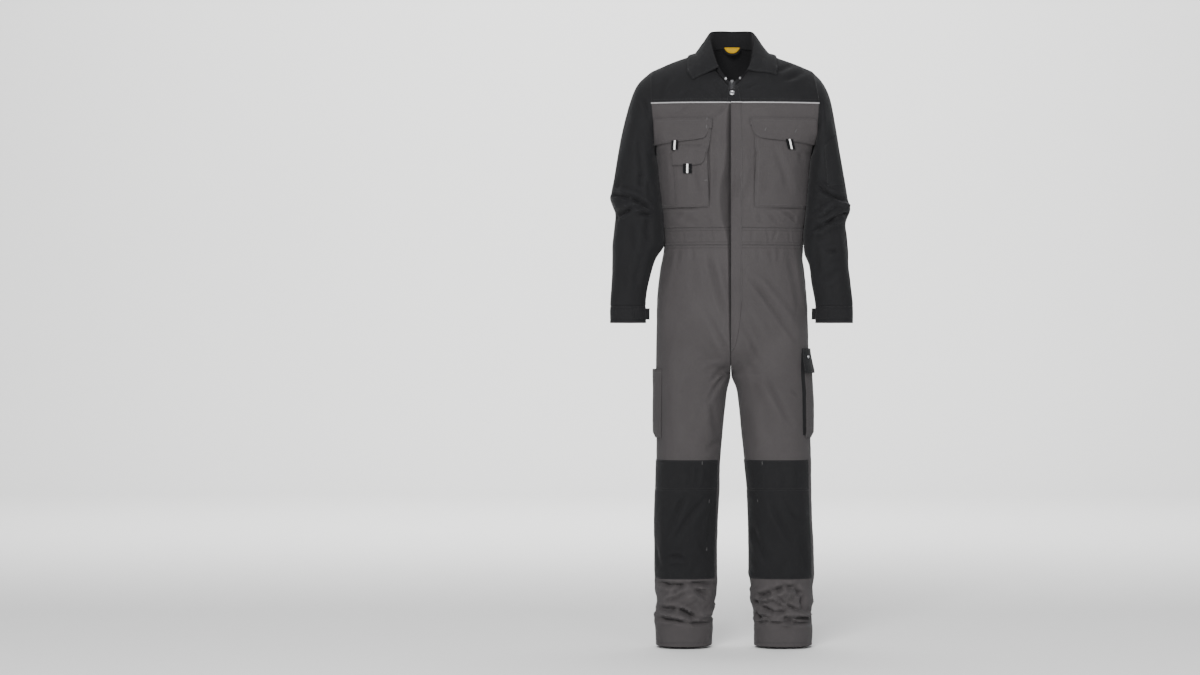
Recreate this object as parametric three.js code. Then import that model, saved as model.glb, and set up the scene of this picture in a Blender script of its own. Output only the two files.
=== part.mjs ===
// Boiler suit, worn shape with nobody inside. Millimetres, +Z up, the front faces -Y, the wearer's left is +X.
// The origin is the middle of the neck opening at shoulder height.
// Every cloth piece is a thin wall laid over one of five forms: bodice, yoke, hips and legs, sleeves, collar.
import * as THREE from "three";

// ---------- driving sizes ----------
const WALL = 1.5; // cloth wall
const GAP = 0.3; // gap between two pieces at a seam
const LIFT = 0.6; // clear height between a panel and what lies on it
const YOKE_Z = -119; // yoke seam
const UNDERARM_Z = -252;
const BAND_TOP = -448, BAND_LOW = -493; // waistband
const CROTCH_Z = -832, RISE_Z = -735; // the rise starts to curve under at RISE_Z
const HEM_Z = -1549;
const CUFF_TOP = -652, CUFF_LOW = -697;
const FLY_END = -769;
const ARM_FRONT = 84, ARM_BACK = 80; // armhole half depths
const SHOULDER_Z = -32; // top of the armhole
const FRONT_X = -3; // centre front line
const BLACK = 0x2b2b2d, GREY = 0x5a5657, LIGHT = 0xa3a1a2, STEEL = 0xc9c9cb, OCHRE = 0xc79a2a;

// ---------- tables ----------
// bodice sections: height, right side x, left side x, front depth, back depth, section exponent
const BODY = [
  { z: -119, xl: -212, xr: 228.7, f: 112, b: 108, n: 2.5 },
  { z: -159, xl: -208.5, xr: 226.6, f: 120, b: 113, n: 2.5 },
  { z: -199, xl: -204, xr: 222.6, f: 125, b: 116, n: 2.5 },
  { z: -238, xl: -200, xr: 211.5, f: 127, b: 117, n: 2.5 },
  { z: -278, xl: -196, xr: 206, f: 127, b: 116, n: 2.45 },
  { z: -345, xl: -191, xr: 201, f: 123, b: 112, n: 2.4 },
  { z: -398, xl: -186.5, xr: 198, f: 119, b: 109, n: 2.4 },
  { z: -448, xl: -183, xr: 193, f: 114, b: 107, n: 2.4 },
  { z: -493, xl: -181, xr: 189, f: 112, b: 108, n: 2.4 },
  { z: -525, xl: -185, xr: 187, f: 114, b: 113, n: 2.4 },
  { z: -557, xl: -191, xr: 191, f: 117, b: 120, n: 2.4 },
  { z: -620, xl: -198, xr: 197, f: 121, b: 130, n: 2.4 },
  { z: -700, xl: -200, xr: 200.5, f: 120, b: 136, n: 2.4 },
  { z: -771, xl: -201, xr: 201.4, f: 116, b: 134, n: 2.35 },
  { z: -860, xl: -201, xr: 204, f: 108, b: 122, n: 2.3 },
];
// leg sections: height, outer x, inner x, front depth, back depth, middle y
const LEG_R = [
  { z: -700, o: -200, i: -3.3, f: 110, b: 124, y: 6 },
  { z: -832, o: -201, i: -3.4, f: 102, b: 108, y: 6 },
  { z: -870, o: -201, i: -11, f: 99, b: 103, y: 6 },
  { z: -901, o: -201, i: -16, f: 97, b: 100, y: 5 },
  { z: -975, o: -201, i: -24, f: 93, b: 95, y: 4 },
  { z: -1068, o: -201, i: -32, f: 88, b: 88, y: 2 },
  { z: -1124, o: -201, i: -33, f: 86, b: 84, y: 0 },
  { z: -1216, o: -204, i: -37, f: 83, b: 80, y: 2 },
  { z: -1291, o: -204, i: -40, f: 80, b: 79, y: 6 },
  { z: -1365, o: -204, i: -40, f: 78, b: 79, y: 10 },
  { z: -1402, o: -203, i: -42, f: 77, b: 78, y: 11 },
  { z: -1439, o: -202, i: -46, f: 78, b: 78, y: 12 },
  { z: -1476, o: -207, i: -52, f: 77, b: 77, y: 12 },
  { z: -1505, o: -203, i: -51, f: 74, b: 75, y: 12 },
  { z: -1549, o: -201, i: -55, f: 73, b: 74, y: 12 },
];
const LEG_L = [
  { z: -700, o: 200.5, i: -2.7, f: 110, b: 124, y: 6 },
  { z: -832, o: 203, i: -2.6, f: 102, b: 108, y: 6 },
  { z: -870, o: 205, i: 11, f: 99, b: 103, y: 6 },
  { z: -901, o: 206, i: 16, f: 97, b: 100, y: 5 },
  { z: -975, o: 206, i: 24, f: 93, b: 95, y: 4 },
  { z: -1068, o: 209, i: 34, f: 88, b: 88, y: 2 },
  { z: -1124, o: 210, i: 40, f: 86, b: 84, y: 0 },
  { z: -1216, o: 213, i: 44, f: 83, b: 80, y: 2 },
  { z: -1291, o: 217, i: 45, f: 80, b: 79, y: 6 },
  { z: -1365, o: 219, i: 45, f: 78, b: 79, y: 10 },
  { z: -1402, o: 217, i: 48, f: 77, b: 78, y: 11 },
  { z: -1439, o: 215, i: 51, f: 78, b: 78, y: 12 },
  { z: -1476, o: 211, i: 57, f: 77, b: 77, y: 12 },
  { z: -1505, o: 213, i: 58, f: 74, b: 75, y: 12 },
  { z: -1549, o: 212, i: 58, f: 73, b: 74, y: 12 },
];
// sleeve rings: outer end x z, inner end x z, half depth, middle y, how far the front and back stand out past the chord (the ring before the first row is the armhole itself)
const SLEEVE_R = [
  { xo: -249, zo: -64, xi: -203, zi: -254.5, d: 83, y: 0, m: 3 },
  { xo: -270, zo: -111, xi: -203.5, zi: -259, d: 81, y: -3 },
  { xo: -290, zo: -190, xi: -202, zi: -268, d: 78, y: -8 },
  { xo: -300, zo: -243, xi: -198, zi: -290, d: 74, y: -14 },
  { xo: -309, zo: -300, xi: -194.8, zi: -325, d: 70, y: -20 },
  { xo: -318, zo: -350, xi: -191.8, zi: -360, d: 67, y: -26 },
  { xo: -322, zo: -368, xi: -190.3, zi: -377, d: 66, y: -28 },
  { xo: -314, zo: -392, xi: -188.6, zi: -397, d: 64, y: -31 },
  { xo: -308, zo: -413, xi: -187.6, zi: -415, d: 62, y: -33 },
  { xo: -312, zo: -461, xi: -184.5, zi: -461, d: 62, y: -37 },
  { xo: -315, zo: -493, xi: -183.5, zi: -493, d: 61, y: -40 },
  { xo: -315, zo: -530, xi: -200, zi: -530, d: 58, y: -43 },
  { xo: -316, zo: -570, xi: -213, zi: -570, d: 54, y: -46 },
  { xo: -318, zo: -604, xi: -222, zi: -604, d: 49, y: -48 },
  { xo: -320, zo: -632, xi: -226, zi: -632, d: 44, y: -49 },
  { xo: -320.5, zo: -652, xi: -227, zi: -652, d: 40, y: -50 },
];
const SLEEVE_L = [
  { xo: 241, zo: -64, xi: 214, zi: -254.5, d: 83, y: 0, m: 7 },
  { xo: 262, zo: -111, xi: 214.5, zi: -259, d: 81, y: -3 },
  { xo: 276, zo: -190, xi: 213, zi: -268, d: 78, y: -8 },
  { xo: 285, zo: -243, xi: 208.5, zi: -290, d: 74, y: -14 },
  { xo: 295, zo: -300, xi: 205, zi: -325, d: 70, y: -20 },
  { xo: 303, zo: -350, xi: 202.8, zi: -360, d: 67, y: -26 },
  { xo: 306, zo: -370, xi: 201.3, zi: -377, d: 66, y: -28 },
  { xo: 312, zo: -398, xi: 200, zi: -400, d: 64, y: -31 },
  { xo: 300, zo: -433, xi: 197.2, zi: -433, d: 62, y: -34 },
  { xo: 303, zo: -470, xi: 193.4, zi: -468, d: 62, y: -38 },
  { xo: 306, zo: -510, xi: 195, zi: -510, d: 61, y: -41 },
  { xo: 306, zo: -545, xi: 204, zi: -545, d: 57, y: -44 },
  { xo: 311, zo: -588, xi: 210, zi: -588, d: 52, y: -47 },
  { xo: 315, zo: -620, xi: 216, zi: -620, d: 46, y: -49 },
  { xo: 317, zo: -638, xi: 219, zi: -638, d: 42, y: -50 },
  { xo: 318, zo: -652, xi: 220, zi: -652, d: 40, y: -50 },
];
// shoulder seam from the neck out to the sleeve head: x, z
const SHOULDER = [
  { x: 68, z: 20 }, { x: 93, z: 14 }, { x: 135, z: 0 }, { x: 175, z: -15 }, { x: 214, z: SHOULDER_Z },
];
// collar stations from the right front end, round the back, to the left front end:
// fold (top of the stand) and outer edge of the leaf; the leaf runs from LEAF_T to 1 - LEAF_T only
const LEAF_T = 0.13;
const COLLAR = [
  { t: 0.0, f: [-5, -82, -66], e: [-100, -103, -64] },
  { t: 0.13, f: [-35, -74, -27], e: [-103, -101.5, -61] },
  { t: 0.25, f: [-52, -42, 26], e: [-118, -79, -30] },
  { t: 0.36, f: [-58, -2, 64], e: [-103, 16, 8] },
  { t: 0.43, f: [-48, 34, 77], e: [-74, 76, 8] },
  { t: 0.5, f: [0, 52, 79], e: [0, 94, 8] },
  { t: 0.57, f: [48, 34, 77], e: [74, 76, 8] },
  { t: 0.64, f: [58, -2, 62], e: [104, 14, 6] },
  { t: 0.75, f: [55, -42, 22], e: [119, -74, -22] },
  { t: 0.87, f: [41, -74, -34], e: [117, -94, -48] },
  { t: 1.0, f: [4, -82, -66], e: [114, -97, -52] },
];
// the flap outlines: x and the height of the lower edge
const FLAP_R = [{ x: -206, z: -229 }, { x: -150, z: -224 }, { x: -75, z: -216 }, { x: -69, z: -211 }, { x: -64, z: -198 }, { x: -62, z: -190 }];
const FLAP_L = [{ x: 52, z: -182 }, { x: 57, z: -200 }, { x: 64, z: -209 }, { x: 80, z: -215.5 }, { x: 150, z: -221 }, { x: 216, z: -227 }];
const PHONE_FLAP = [{ x: -156, z: -284 }, { x: -120, z: -285 }, { x: -84, z: -283 }, { x: -74, z: -276 }, { x: -68, z: -262 }];
const POCKET_LOW = -395, FLAP_TOP = -160;
const PATCH_TOP = -1057, PATCH_SEAM = -1134, PATCH_LOW = -1370;
const SNAP_R = 7.2, STUD_R = 4.4;

// ---------- small maths ----------
const { PI, sin, cos, acos, abs, min, max, pow, sqrt, hypot, round } = Math;
const DEG = PI / 180;
const lerp = (a, b, t) => a + (b - a) * t;
const clamp = (v, a, b) => min(b, max(a, v));
const smooth = (a, b, v) => { const t = clamp((v - a) / (b - a), 0, 1); return t * t * (3 - 2 * t); };
const add = (a, b, k = 1) => [a[0] + b[0] * k, a[1] + b[1] * k, a[2] + b[2] * k];
const sub = (a, b) => add(a, b, -1);
const dot = (a, b) => a[0] * b[0] + a[1] * b[1] + a[2] * b[2];
const cross = (a, b) => [a[1] * b[2] - a[2] * b[1], a[2] * b[0] - a[0] * b[2], a[0] * b[1] - a[1] * b[0]];
const unit = (a) => { const l = hypot(...a) || 1; return [a[0] / l, a[1] / l, a[2] / l]; };
const range = (a, b, n) => Array.from({ length: n + 1 }, (_, k) => lerp(a, b, k / n));
const spow = (c, e) => (c < 0 ? -pow(-c, e) : pow(c, e));

// Catmull-Rom through rows of numbers at the parameter values ts
function spline(ts, rows, t) {
  const last = ts.length - 1;
  if (t <= ts[0]) return rows[0].slice();
  if (t >= ts[last]) return rows[last].slice();
  let k = 0;
  while (t > ts[k + 1]) k++;
  const h = ts[k + 1] - ts[k], s = (t - ts[k]) / h;
  const slope = (j, c) => {
    if (j === 0) return (rows[1][c] - rows[0][c]) / (ts[1] - ts[0]);
    if (j === last) return (rows[last][c] - rows[last - 1][c]) / (ts[last] - ts[last - 1]);
    return (rows[j + 1][c] - rows[j - 1][c]) / (ts[j + 1] - ts[j - 1]);
  };
  const s2 = s * s, s3 = s2 * s;
  return rows[0].map((_, c) =>
    (2 * s3 - 3 * s2 + 1) * rows[k][c] + (s3 - 2 * s2 + s) * h * slope(k, c) +
    (-2 * s3 + 3 * s2) * rows[k + 1][c] + (s3 - s2) * h * slope(k + 1, c));
}
// named columns of a height table at height z
function atHeight(table, z, names) {
  const rows = [...table].reverse();
  return spline(rows.map((r) => r.z), rows.map((r) => names.map((m) => r[m])), z);
}

// ---------- the five forms ----------
// bodice and hips: a section with its own half width each side; above the underarm the armhole cuts the side off
function bodySection(z) {
  const [xl, xr, f, b, n] = atHeight(BODY, z, ["xl", "xr", "f", "b", "n"]);
  const cx = (xl + xr) / 2;
  const open = z > UNDERARM_Z ? sqrt(max(0, 1 - pow((z - YOKE_Z) / (YOKE_Z - UNDERARM_Z), 2))) : 0;
  const side = (x, arm, depth) => {
    const y = arm * open;
    const a = abs(x - cx) / pow(1 - pow(y / depth, n), 1 / n);
    return { a, t: acos(pow(abs(x - cx) / a, n / 2)) };
  };
  return {
    cx, n, f, b,
    rf: side(xl, ARM_FRONT, f), lf: side(xr, ARM_FRONT, f),
    rb: side(xl, ARM_BACK, b), lb: side(xr, ARM_BACK, b),
  };
}
// the parameter angle at which the front section passes the centre front line
function centreAngle(s) {
  const k = FRONT_X - s.cx, a = k < 0 ? s.rf.a : s.lf.a;
  return acos(spow(k / a, s.n / 2));
}
// front of the bodice: u is 0 at the side and 1 at the centre front
function frontBody(side, u, z) {
  const s = bodySection(z), mid = centreAngle(s);
  const t = side < 0 ? lerp(PI - s.rf.t, mid, u) : lerp(s.lf.t, mid, u);
  const a = cos(t) < 0 ? s.rf.a : s.lf.a;
  return [s.cx + a * spow(cos(t), 2 / s.n), -s.f * spow(sin(t), 2 / s.n), z];
}
// back of the bodice: u runs from 0 at the right side to 1 at the left side
function backBody(u, z) {
  const s = bodySection(z);
  const t = lerp(PI - s.rb.t, s.lb.t, u);
  const a = cos(t) < 0 ? s.rb.a : s.lb.a;
  return [s.cx + a * spow(cos(t), 2 / s.n), s.b * spow(sin(t), 2 / s.n), z];
}
// u on the front at which the bodice has the given x
function frontU(side, x, z) {
  const s = bodySection(z), mid = centreAngle(s), k = x - s.cx;
  const a = k < 0 ? s.rf.a : s.lf.a, t = acos(spow(clamp(k / a, -1, 1), s.n / 2));
  const t0 = side < 0 ? PI - s.rf.t : s.lf.t;
  return clamp((t - t0) / (mid - t0), 0, 1);
}

// top line of the yoke: k is 0 at the sleeve head, NECK_K at the neck side, 1 at the centre front or back
const NECK_K = 0.62;
function yokeTop(side, k, back) {
  if (k <= NECK_K) {
    const x = lerp(side < 0 ? 214 : 212, 68, k / NECK_K);
    const z = spline(SHOULDER.map((r) => r.x), SHOULDER.map((r) => [r.z]), x)[0];
    return { p: [side * x, 0, z], bend: 90 * DEG };
  }
  const q = (k - NECK_K) / (1 - NECK_K), w = q * 90 * DEG;
  if (back) return { p: [side * 68 * cos(w), 66 * sin(w), lerp(20, 34, sin(w))], bend: lerp(90, 62, sin(w)) * DEG };
  return { p: [side * lerp(68, abs(FRONT_X), 1 - spow(cos(w), 1.1)), -88 * pow(abs(sin(w)), 1.15), lerp(20, -80, pow(abs(sin(w)), 1.5) * 0.55 + 0.45 * (1 - cos(w)))], bend: lerp(90, 26, sin(w)) * DEG };
}
// yoke surface: k across as above, v 0 at the yoke seam and 1 at the top line
function yoke(side, k, v, back) {
  const low = back ? backBody(side < 0 ? k * 0.5 : 1 - k * 0.5, YOKE_Z) : frontBody(side, k, YOKE_Z);
  const top = yokeTop(side, k, back);
  const a = v * top.bend;
  const fall = (1 - cos(a)) / (1 - cos(top.bend)), climb = sin(a) / sin(top.bend);
  return [lerp(low[0], top.p[0], climb * 0.5 + v * 0.5), lerp(low[1], top.p[1], fall), lerp(low[2], top.p[2], climb)];
}

// hips and legs: u is 0 at the side seam and 1 at the centre front, the centre back or the inseam
const legTable = (side) => (side < 0 ? LEG_R : LEG_L);
function leg(side, u, z, back) {
  const [o, i, f, b, y] = atHeight(legTable(side), clamp(z, -1600, -700), ["o", "i", "f", "b", "y"]);
  const t = u * PI, n = 2.25, half = (o - i) / 2, mid = (o + i) / 2, d = back ? b : -f;
  const low = [mid + half * spow(cos(t), 2 / n), y + d * spow(sin(t), 2 / n), z];
  if (z <= CROTCH_Z) return low;
  const hip = back ? backBody(side < 0 ? u * backCentre(z) : 1 - u * (1 - backCentre(z)), z) : frontBody(side, u, z);
  const drop = clamp((RISE_Z - z) / (RISE_Z - CROTCH_Z), 0, 1);
  const sharp = 1 - sqrt(1 - drop * drop), soft = smooth(-640, CROTCH_Z, z);
  const w = lerp(soft, sharp, smooth(0.35, 1, u));
  return [lerp(hip[0], low[0], w), lerp(hip[1], low[1], w), z];
}
// u on the whole back at which the hips cross the centre line
function backCentre(z) {
  const s = bodySection(z), k = FRONT_X - s.cx, a = k < 0 ? s.rb.a : s.lb.a;
  const t = acos(spow(k / a, s.n / 2));
  return (PI - s.rb.t - t) / (PI - s.rb.t - s.lb.t);
}
// all round the leg: q below 0 is on the front, above 0 on the back, 0 at the side seam
const legRound = (side, q, z) => leg(side, abs(q), z, q > 0);

// sleeves: a is the turn round the arm, 0 on the outside, 90 at the front, 180 underneath; s counts the rings
const sleeveTable = (side) => (side < 0 ? SLEEVE_R : SLEEVE_L);
function armhole(side, a) {
  const z = cos(a) >= 0 ? lerp(YOKE_Z, SHOULDER_Z, cos(a)) : lerp(YOKE_Z, UNDERARM_Z, -cos(a));
  const y = sin(a) >= 0 ? -ARM_FRONT * sin(a) : -ARM_BACK * sin(a);
  let x;
  if (z <= YOKE_Z) {
    const [xl, xr] = atHeight(BODY, z, ["xl", "xr"]);
    x = side < 0 ? xl : xr;
  } else {
    const top = yokeTop(side, 0, false).p[0], low = side < 0 ? BODY[0].xl : BODY[0].xr;
    x = lerp(low, top, cos(a) * 0.5 + (asinc(cos(a)) / (90 * DEG)) * 0.5);
  }
  return [x, y, z];
}
const asinc = (v) => Math.asin(clamp(v, -1, 1));
function sleeve(side, a, s) {
  const rows = [armhole(side, a)];
  for (const r of sleeveTable(side)) {
    const c = [(r.xo + r.xi) / 2, r.y, (r.zo + r.zi) / 2], h = [(r.xo - r.xi) / 2, 0, (r.zo - r.zi) / 2];
    const n = 2.15, ca = spow(cos(a), 2 / n), sa = spow(sin(a), 2 / n);
    rows.push([c[0] + h[0] * ca + side * (r.m || 0) * abs(sa), c[1] - r.d * sa, c[2] + h[2] * ca]);
  }
  return spline(rows.map((_, k) => k), rows, s);
}
const RINGS = SLEEVE_R.length;
// cuff: carries straight on from the last ring of the sleeve
function cuff(side, a, v) {
  const end = sleeve(side, a, RINGS);
  return [end[0] + side * -0.4 * v * (a > 90 * DEG && a < 270 * DEG ? 1 : 0), end[1], lerp(CUFF_TOP, CUFF_LOW, v)];
}

// collar: t runs round the neck, v goes up the stand or down the leaf
const collarAt = (key, t) => spline(COLLAR.map((r) => r.t), COLLAR.map((r) => r[key]), t);
const SIDE_T = 0.36; // t at the neck side
function neckline(t) {
  const side = t <= 0.5 ? -1 : 1, m = min(t, 1 - t);
  return m <= SIDE_T ? yokeTop(side, lerp(1, NECK_K, m / SIDE_T), false).p : yokeTop(side, lerp(NECK_K, 1, (m - SIDE_T) / (0.5 - SIDE_T)), true).p;
}
function stand(t, v) {
  const n = neckline(t), f = collarAt("f", t);
  const out = unit([n[0], n[1] * 0.8, 0]);
  const low = add(add(n, out, -2.2), [0, 0, 1], 1.2);
  const p = [0, 1, 2].map((c) => lerp(low[c], f[c], v));
  return add(p, out, -1.5 * sin(v * PI));
}
// leaf: rises a little over the fold, then falls outward to its edge, clear of the yoke
function leaf(t, v) {
  const f = collarAt("f", t), e = collarAt("e", t), out = unit([f[0], f[1] * 0.8, 0]);
  const start = add(add(f, out, 0.2), [0, 0, 1], 1.9);
  const knee = add(add(f, out, 9), [0, 0, 1], -2);
  const p = [0, 1, 2].map((c) => lerp(lerp(start[c], knee[c], v), lerp(knee[c], e[c], v), v));
  return clearOfYoke(p, 5.8);
}
let yokeSamples = null;
function clearOfYoke(p, need) {
  if (!yokeSamples) {
    yokeSamples = [];
    for (const side of [-1, 1]) for (const back of [false, true])
      for (const k of range(0.1, 1, 44)) for (const v of range(0, 1, 34)) {
        const q = yoke(side, k, v, back);
        const n = normalOf((a, b) => yoke(side, a, b, back), k, v, (w) => dot(w, [q[0] * 0.3, q[1], 60]));
        yokeSamples.push([q, n]);
      }
  }
  for (let turn = 0; turn < 4; turn++) {
    let best = null, far = 1e9;
    for (const s of yokeSamples) {
      const d = hypot(p[0] - s[0][0], p[1] - s[0][1], p[2] - s[0][2]);
      if (d < far) { far = d; best = s; }
    }
    const h = dot(sub(p, best[0]), best[1]);
    if (h >= need - 0.05) break;
    p = add(p, best[1], need - h);
  }
  return p;
}

// ---------- sheets ----------
function normalOf(P, u, v, outward) {
  const e = 1e-3;
  const du = sub(P(u + e, v), P(u - e, v)), dv = sub(P(u, v + e), P(u, v - e));
  const n = unit(cross(du, dv));
  return outward(n) < 0 ? [-n[0], -n[1], -n[2]] : n;
}
const group = new THREE.Group();
group.name = "boiler_suit";
function addMesh(name, geometry, colour, roughness = 0.9, metalness = 0) {
  const mesh = new THREE.Mesh(geometry, new THREE.MeshStandardMaterial({ color: colour, roughness, metalness }));
  mesh.name = name;
  group.add(mesh);
  return mesh;
}
// A closed wall from a lattice of points and normals. The lower face lies `low` out from the points, the upper one `low + wall`.
// closed joins the last column to the first. Free borders are drawn in by half a seam gap.
function wallOf(points, normals, low, wall, { closed = false, inset = [1, 1, 1, 1], flip = false } = {}) {
  const nv = points.length, nu = points[0].length;
  const moved = points.map((row) => row.map((p) => p.slice()));
  const pull = (j, i, jj, ii) => {
    const d = unit(sub(points[jj][ii], points[j][i]));
    moved[j][i] = add(moved[j][i], d, GAP / 2);
  };
  for (let i = 0; i < nu; i++) {
    if (inset[0]) pull(0, i, 1, i);
    if (inset[1]) pull(nv - 1, i, nv - 2, i);
  }
  if (!closed) for (let j = 0; j < nv; j++) {
    if (inset[2]) pull(j, 0, j, 1);
    if (inset[3]) pull(j, nu - 1, j, nu - 2);
  }
  const pos = [], index = [];
  const lowAt = (j, i) => (typeof low === "function" ? low(j, i) : low);
  for (const layer of [1, 0]) for (let j = 0; j < nv; j++) for (let i = 0; i < nu; i++)
    pos.push(...add(moved[j][i], normals[j][i], lowAt(j, i) + layer * wall));
  const id = (layer, j, i) => (layer ? 0 : nu * nv) + j * nu + (i % nu);
  const tri = (a, b, c) => (flip ? index.push(a, c, b) : index.push(a, b, c));
  const quad = (a, b, c, d) => { tri(a, b, c); tri(a, c, d); };
  const cols = closed ? nu : nu - 1;
  for (let j = 0; j < nv - 1; j++) for (let i = 0; i < cols; i++) {
    quad(id(1, j, i), id(1, j, i + 1), id(1, j + 1, i + 1), id(1, j + 1, i));
    const a = id(0, j, i), b = id(0, j, i + 1), c = id(0, j + 1, i + 1), d = id(0, j + 1, i);
    tri(a, c, b); tri(a, d, c);
  }
  for (let i = 0; i < cols; i++) {
    quad(id(1, 0, i), id(0, 0, i), id(0, 0, i + 1), id(1, 0, i + 1));
    quad(id(1, nv - 1, i), id(1, nv - 1, i + 1), id(0, nv - 1, i + 1), id(0, nv - 1, i));
  }
  if (!closed) for (let j = 0; j < nv - 1; j++) {
    quad(id(1, j, 0), id(1, j + 1, 0), id(0, j + 1, 0), id(0, j, 0));
    quad(id(1, j, nu - 1), id(0, j, nu - 1), id(0, j + 1, nu - 1), id(1, j + 1, nu - 1));
  }
  const g = new THREE.BufferGeometry();
  g.setAttribute("position", new THREE.Float32BufferAttribute(pos, 3));
  g.setIndex(index);
  return volume(pos, index) < 0 ? turned(g, index) : g;
}
function volume(pos, index) {
  let v = 0;
  const at = (k) => [pos[3 * k], pos[3 * k + 1], pos[3 * k + 2]];
  for (let k = 0; k < index.length; k += 3) v += dot(at(index[k]), cross(at(index[k + 1]), at(index[k + 2])));
  return v;
}
function turned(g, index) {
  for (let k = 0; k < index.length; k += 3) [index[k + 1], index[k + 2]] = [index[k + 2], index[k + 1]];
  g.setIndex(index);
  return g;
}
// A panel: form P(u, v) on the lattice us x vs (v may depend on the column), normals facing away from `inside(p)`
// edge(u, v, n) may swap the normal for one shared with the neighbour across a seam
function panel(name, P, us, vs, inside, colour, low, wall, options = {}) {
  const vAt = typeof vs === "function" ? vs : () => vs;
  const rows = vAt(us[0], 0).length;
  const points = [], normals = [], edge = options.edge || ((u, v, n) => n);
  for (let j = 0; j < rows; j++) {
    points.push(us.map((u, i) => P(u, vAt(u, i)[j])));
    normals.push(us.map((u, i) => {
      const v = vAt(u, i)[j], p = P(u, v);
      return edge(u, v, normalOf(P, u, v, (n) => dot(n, sub(p, inside(p)))));
    }));
  }
  return addMesh(name, wallOf(points, normals, low, wall, options), colour);
}

// ---------- lattices ----------
const ARM_STEPS = [0, 18, 36, 54, 72, 90].map((d) => lerp(YOKE_Z, UNDERARM_Z, sin(d * DEG)));
const CHEST_Z = [...ARM_STEPS, -292, -344, -395, BAND_TOP];
const RISE_STEPS = [20.52, 42, 60, 76, 90].map((d) => lerp(RISE_Z, CROTCH_Z, sin(d * DEG)));
const HIP_Z = [BAND_LOW, -540, -600, -665, RISE_Z, ...RISE_STEPS];
const LEG_Z = [-870, -932, -999, PATCH_TOP, PATCH_SEAM, -1212, -1291, PATCH_LOW, -1412, -1448, -1480, HEM_Z];
const TROUSER_Z = [...HIP_Z, ...LEG_Z];
const colsOf = (side, xs, z) => xs.map((x) => (x === null ? (xs[0] === x ? 0 : 1) : frontU(side, x, z)));
const CHEST_X_R = [-193, -178, -154, -130, -108, -87, -69, -63, -42, -22];
const CHEST_X_L = [198, 184, 160, 134, 108, 82, 63, 53, 29, 14];
const REF_Z = -262;
const uniq = (list) => [...new Set(list.map((v) => round(v * 1e6) / 1e6))].sort((a, b) => a - b);
const UR = uniq([0, ...CHEST_X_R.map((x) => frontU(-1, x, REF_Z)), 1]);
const UL = uniq([0, ...CHEST_X_L.map((x) => frontU(1, x, REF_Z)), 1]);
const between = (list, a, b) => uniq([a, ...list.filter((v) => v > a + 0.012 && v < b - 0.012), b]);
const axis = (p) => [clamp(p[0], -110, 110) * 0.6, 0, p[2]];
const legAxis = (side) => (p) => {
  const low = smooth(-700, CROTCH_Z, p[2]);
  const [o, i] = atHeight(legTable(side), clamp(p[2], -1600, -700), ["o", "i"]);
  return [lerp(side * 60, (o + i) / 2, low), 5, p[2]];
};

// normals shared by the bodice or the yoke and the sleeve round the armhole
const yokeInside = (p) => [p[0] * 0.6, 0, -140];
const bodyNormal = (P, u, v, inside) => normalOf(P, u, v, (n) => { const p = P(u, v); return dot(n, sub(p, inside(p))); });
function armCore(side) {
  return (p) => {
    const r = sleeveTable(side).reduce((a, b) => (abs((b.zo + b.zi) / 2 - p[2]) < abs((a.zo + a.zi) / 2 - p[2]) ? b : a));
    return [(r.xo + r.xi) / 2, r.y, lerp(-165, p[2], smooth(-120, -300, p[2]))];
  };
}
function armNormal(side, a) {
  const own = bodyNormal((t, s) => sleeve(side, t, s), a, 0.002, armCore(side));
  const back = sin(a) < -1e-9, up = cos(a) >= -1e-9, z = armhole(side, a)[2];
  const v = asinc(cos(a)) / (90 * DEG);
  const other = up
    ? bodyNormal((k, w) => yoke(side, k, w, back), 0.002, v, yokeInside)
    : back ? bodyNormal(backBody, side < 0 ? 0.001 : 0.999, max(z, UNDERARM_Z + 0.5), axis) : bodyNormal((u, w) => frontBody(side, u, w), 0.002, max(z, UNDERARM_Z + 0.5), axis);
  return dot(own, other) > 0.1 ? unit(add(own, other)) : null;
}
const turnAt = (z, back) => {
  const c = z >= YOKE_Z ? (z - YOKE_Z) / (SHOULDER_Z - YOKE_Z) : -(z - YOKE_Z) / (UNDERARM_Z - YOKE_Z);
  const a = acos(clamp(c, -1, 1));
  return back ? 2 * PI - a : a;
};
const sideEdge = (side, back, first) => (u, z, n) => (u === first && z > UNDERARM_Z + 0.01 ? armNormal(side, turnAt(z, back)) || n : n);
const yokeEdge = (side, back) => (k, v, n) => {
  if (k === 0) return armNormal(side, back ? 2 * PI - (1 - v) * 90 * DEG : (1 - v) * 90 * DEG) || n;
  return n;
};
const squareX = (n) => unit([0, n[1], n[2]]);

// ---------- bodice, yoke, waistband ----------
const chestEdge = (side) => (u, z, n) => (u === 1 ? squareX(n) : sideEdge(side, false, 0)(u, z, n));
panel("chest_front_right", (u, z) => frontBody(-1, u, z), UR, CHEST_Z, axis, GREY, -WALL, WALL, { edge: chestEdge(-1) });
panel("chest_front_left", (u, z) => frontBody(1, u, z), UL, CHEST_Z, axis, GREY, -WALL, WALL, { edge: chestEdge(1) });
const UB = range(0, 1, 18);
panel("back_bodice", backBody, UB, CHEST_Z, axis, GREY, -WALL, WALL, {
  edge: (u, z, n) => (u === 0 ? sideEdge(-1, true, 0)(u, z, n) : sideEdge(1, true, 1)(u, z, n)),
});
const BAND_Z = [BAND_TOP, BAND_LOW];
panel("waistband_front_right", (u, z) => frontBody(-1, u, z), UR, BAND_Z, axis, GREY, -WALL, WALL, { edge: chestEdge(-1) });
panel("waistband_front_left", (u, z) => frontBody(1, u, z), UL, BAND_Z, axis, GREY, -WALL, WALL, { edge: chestEdge(1) });
panel("waistband_back", backBody, UB, BAND_Z, axis, GREY, -WALL, WALL);
const YOKE_V = range(0, 1, 5);
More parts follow.
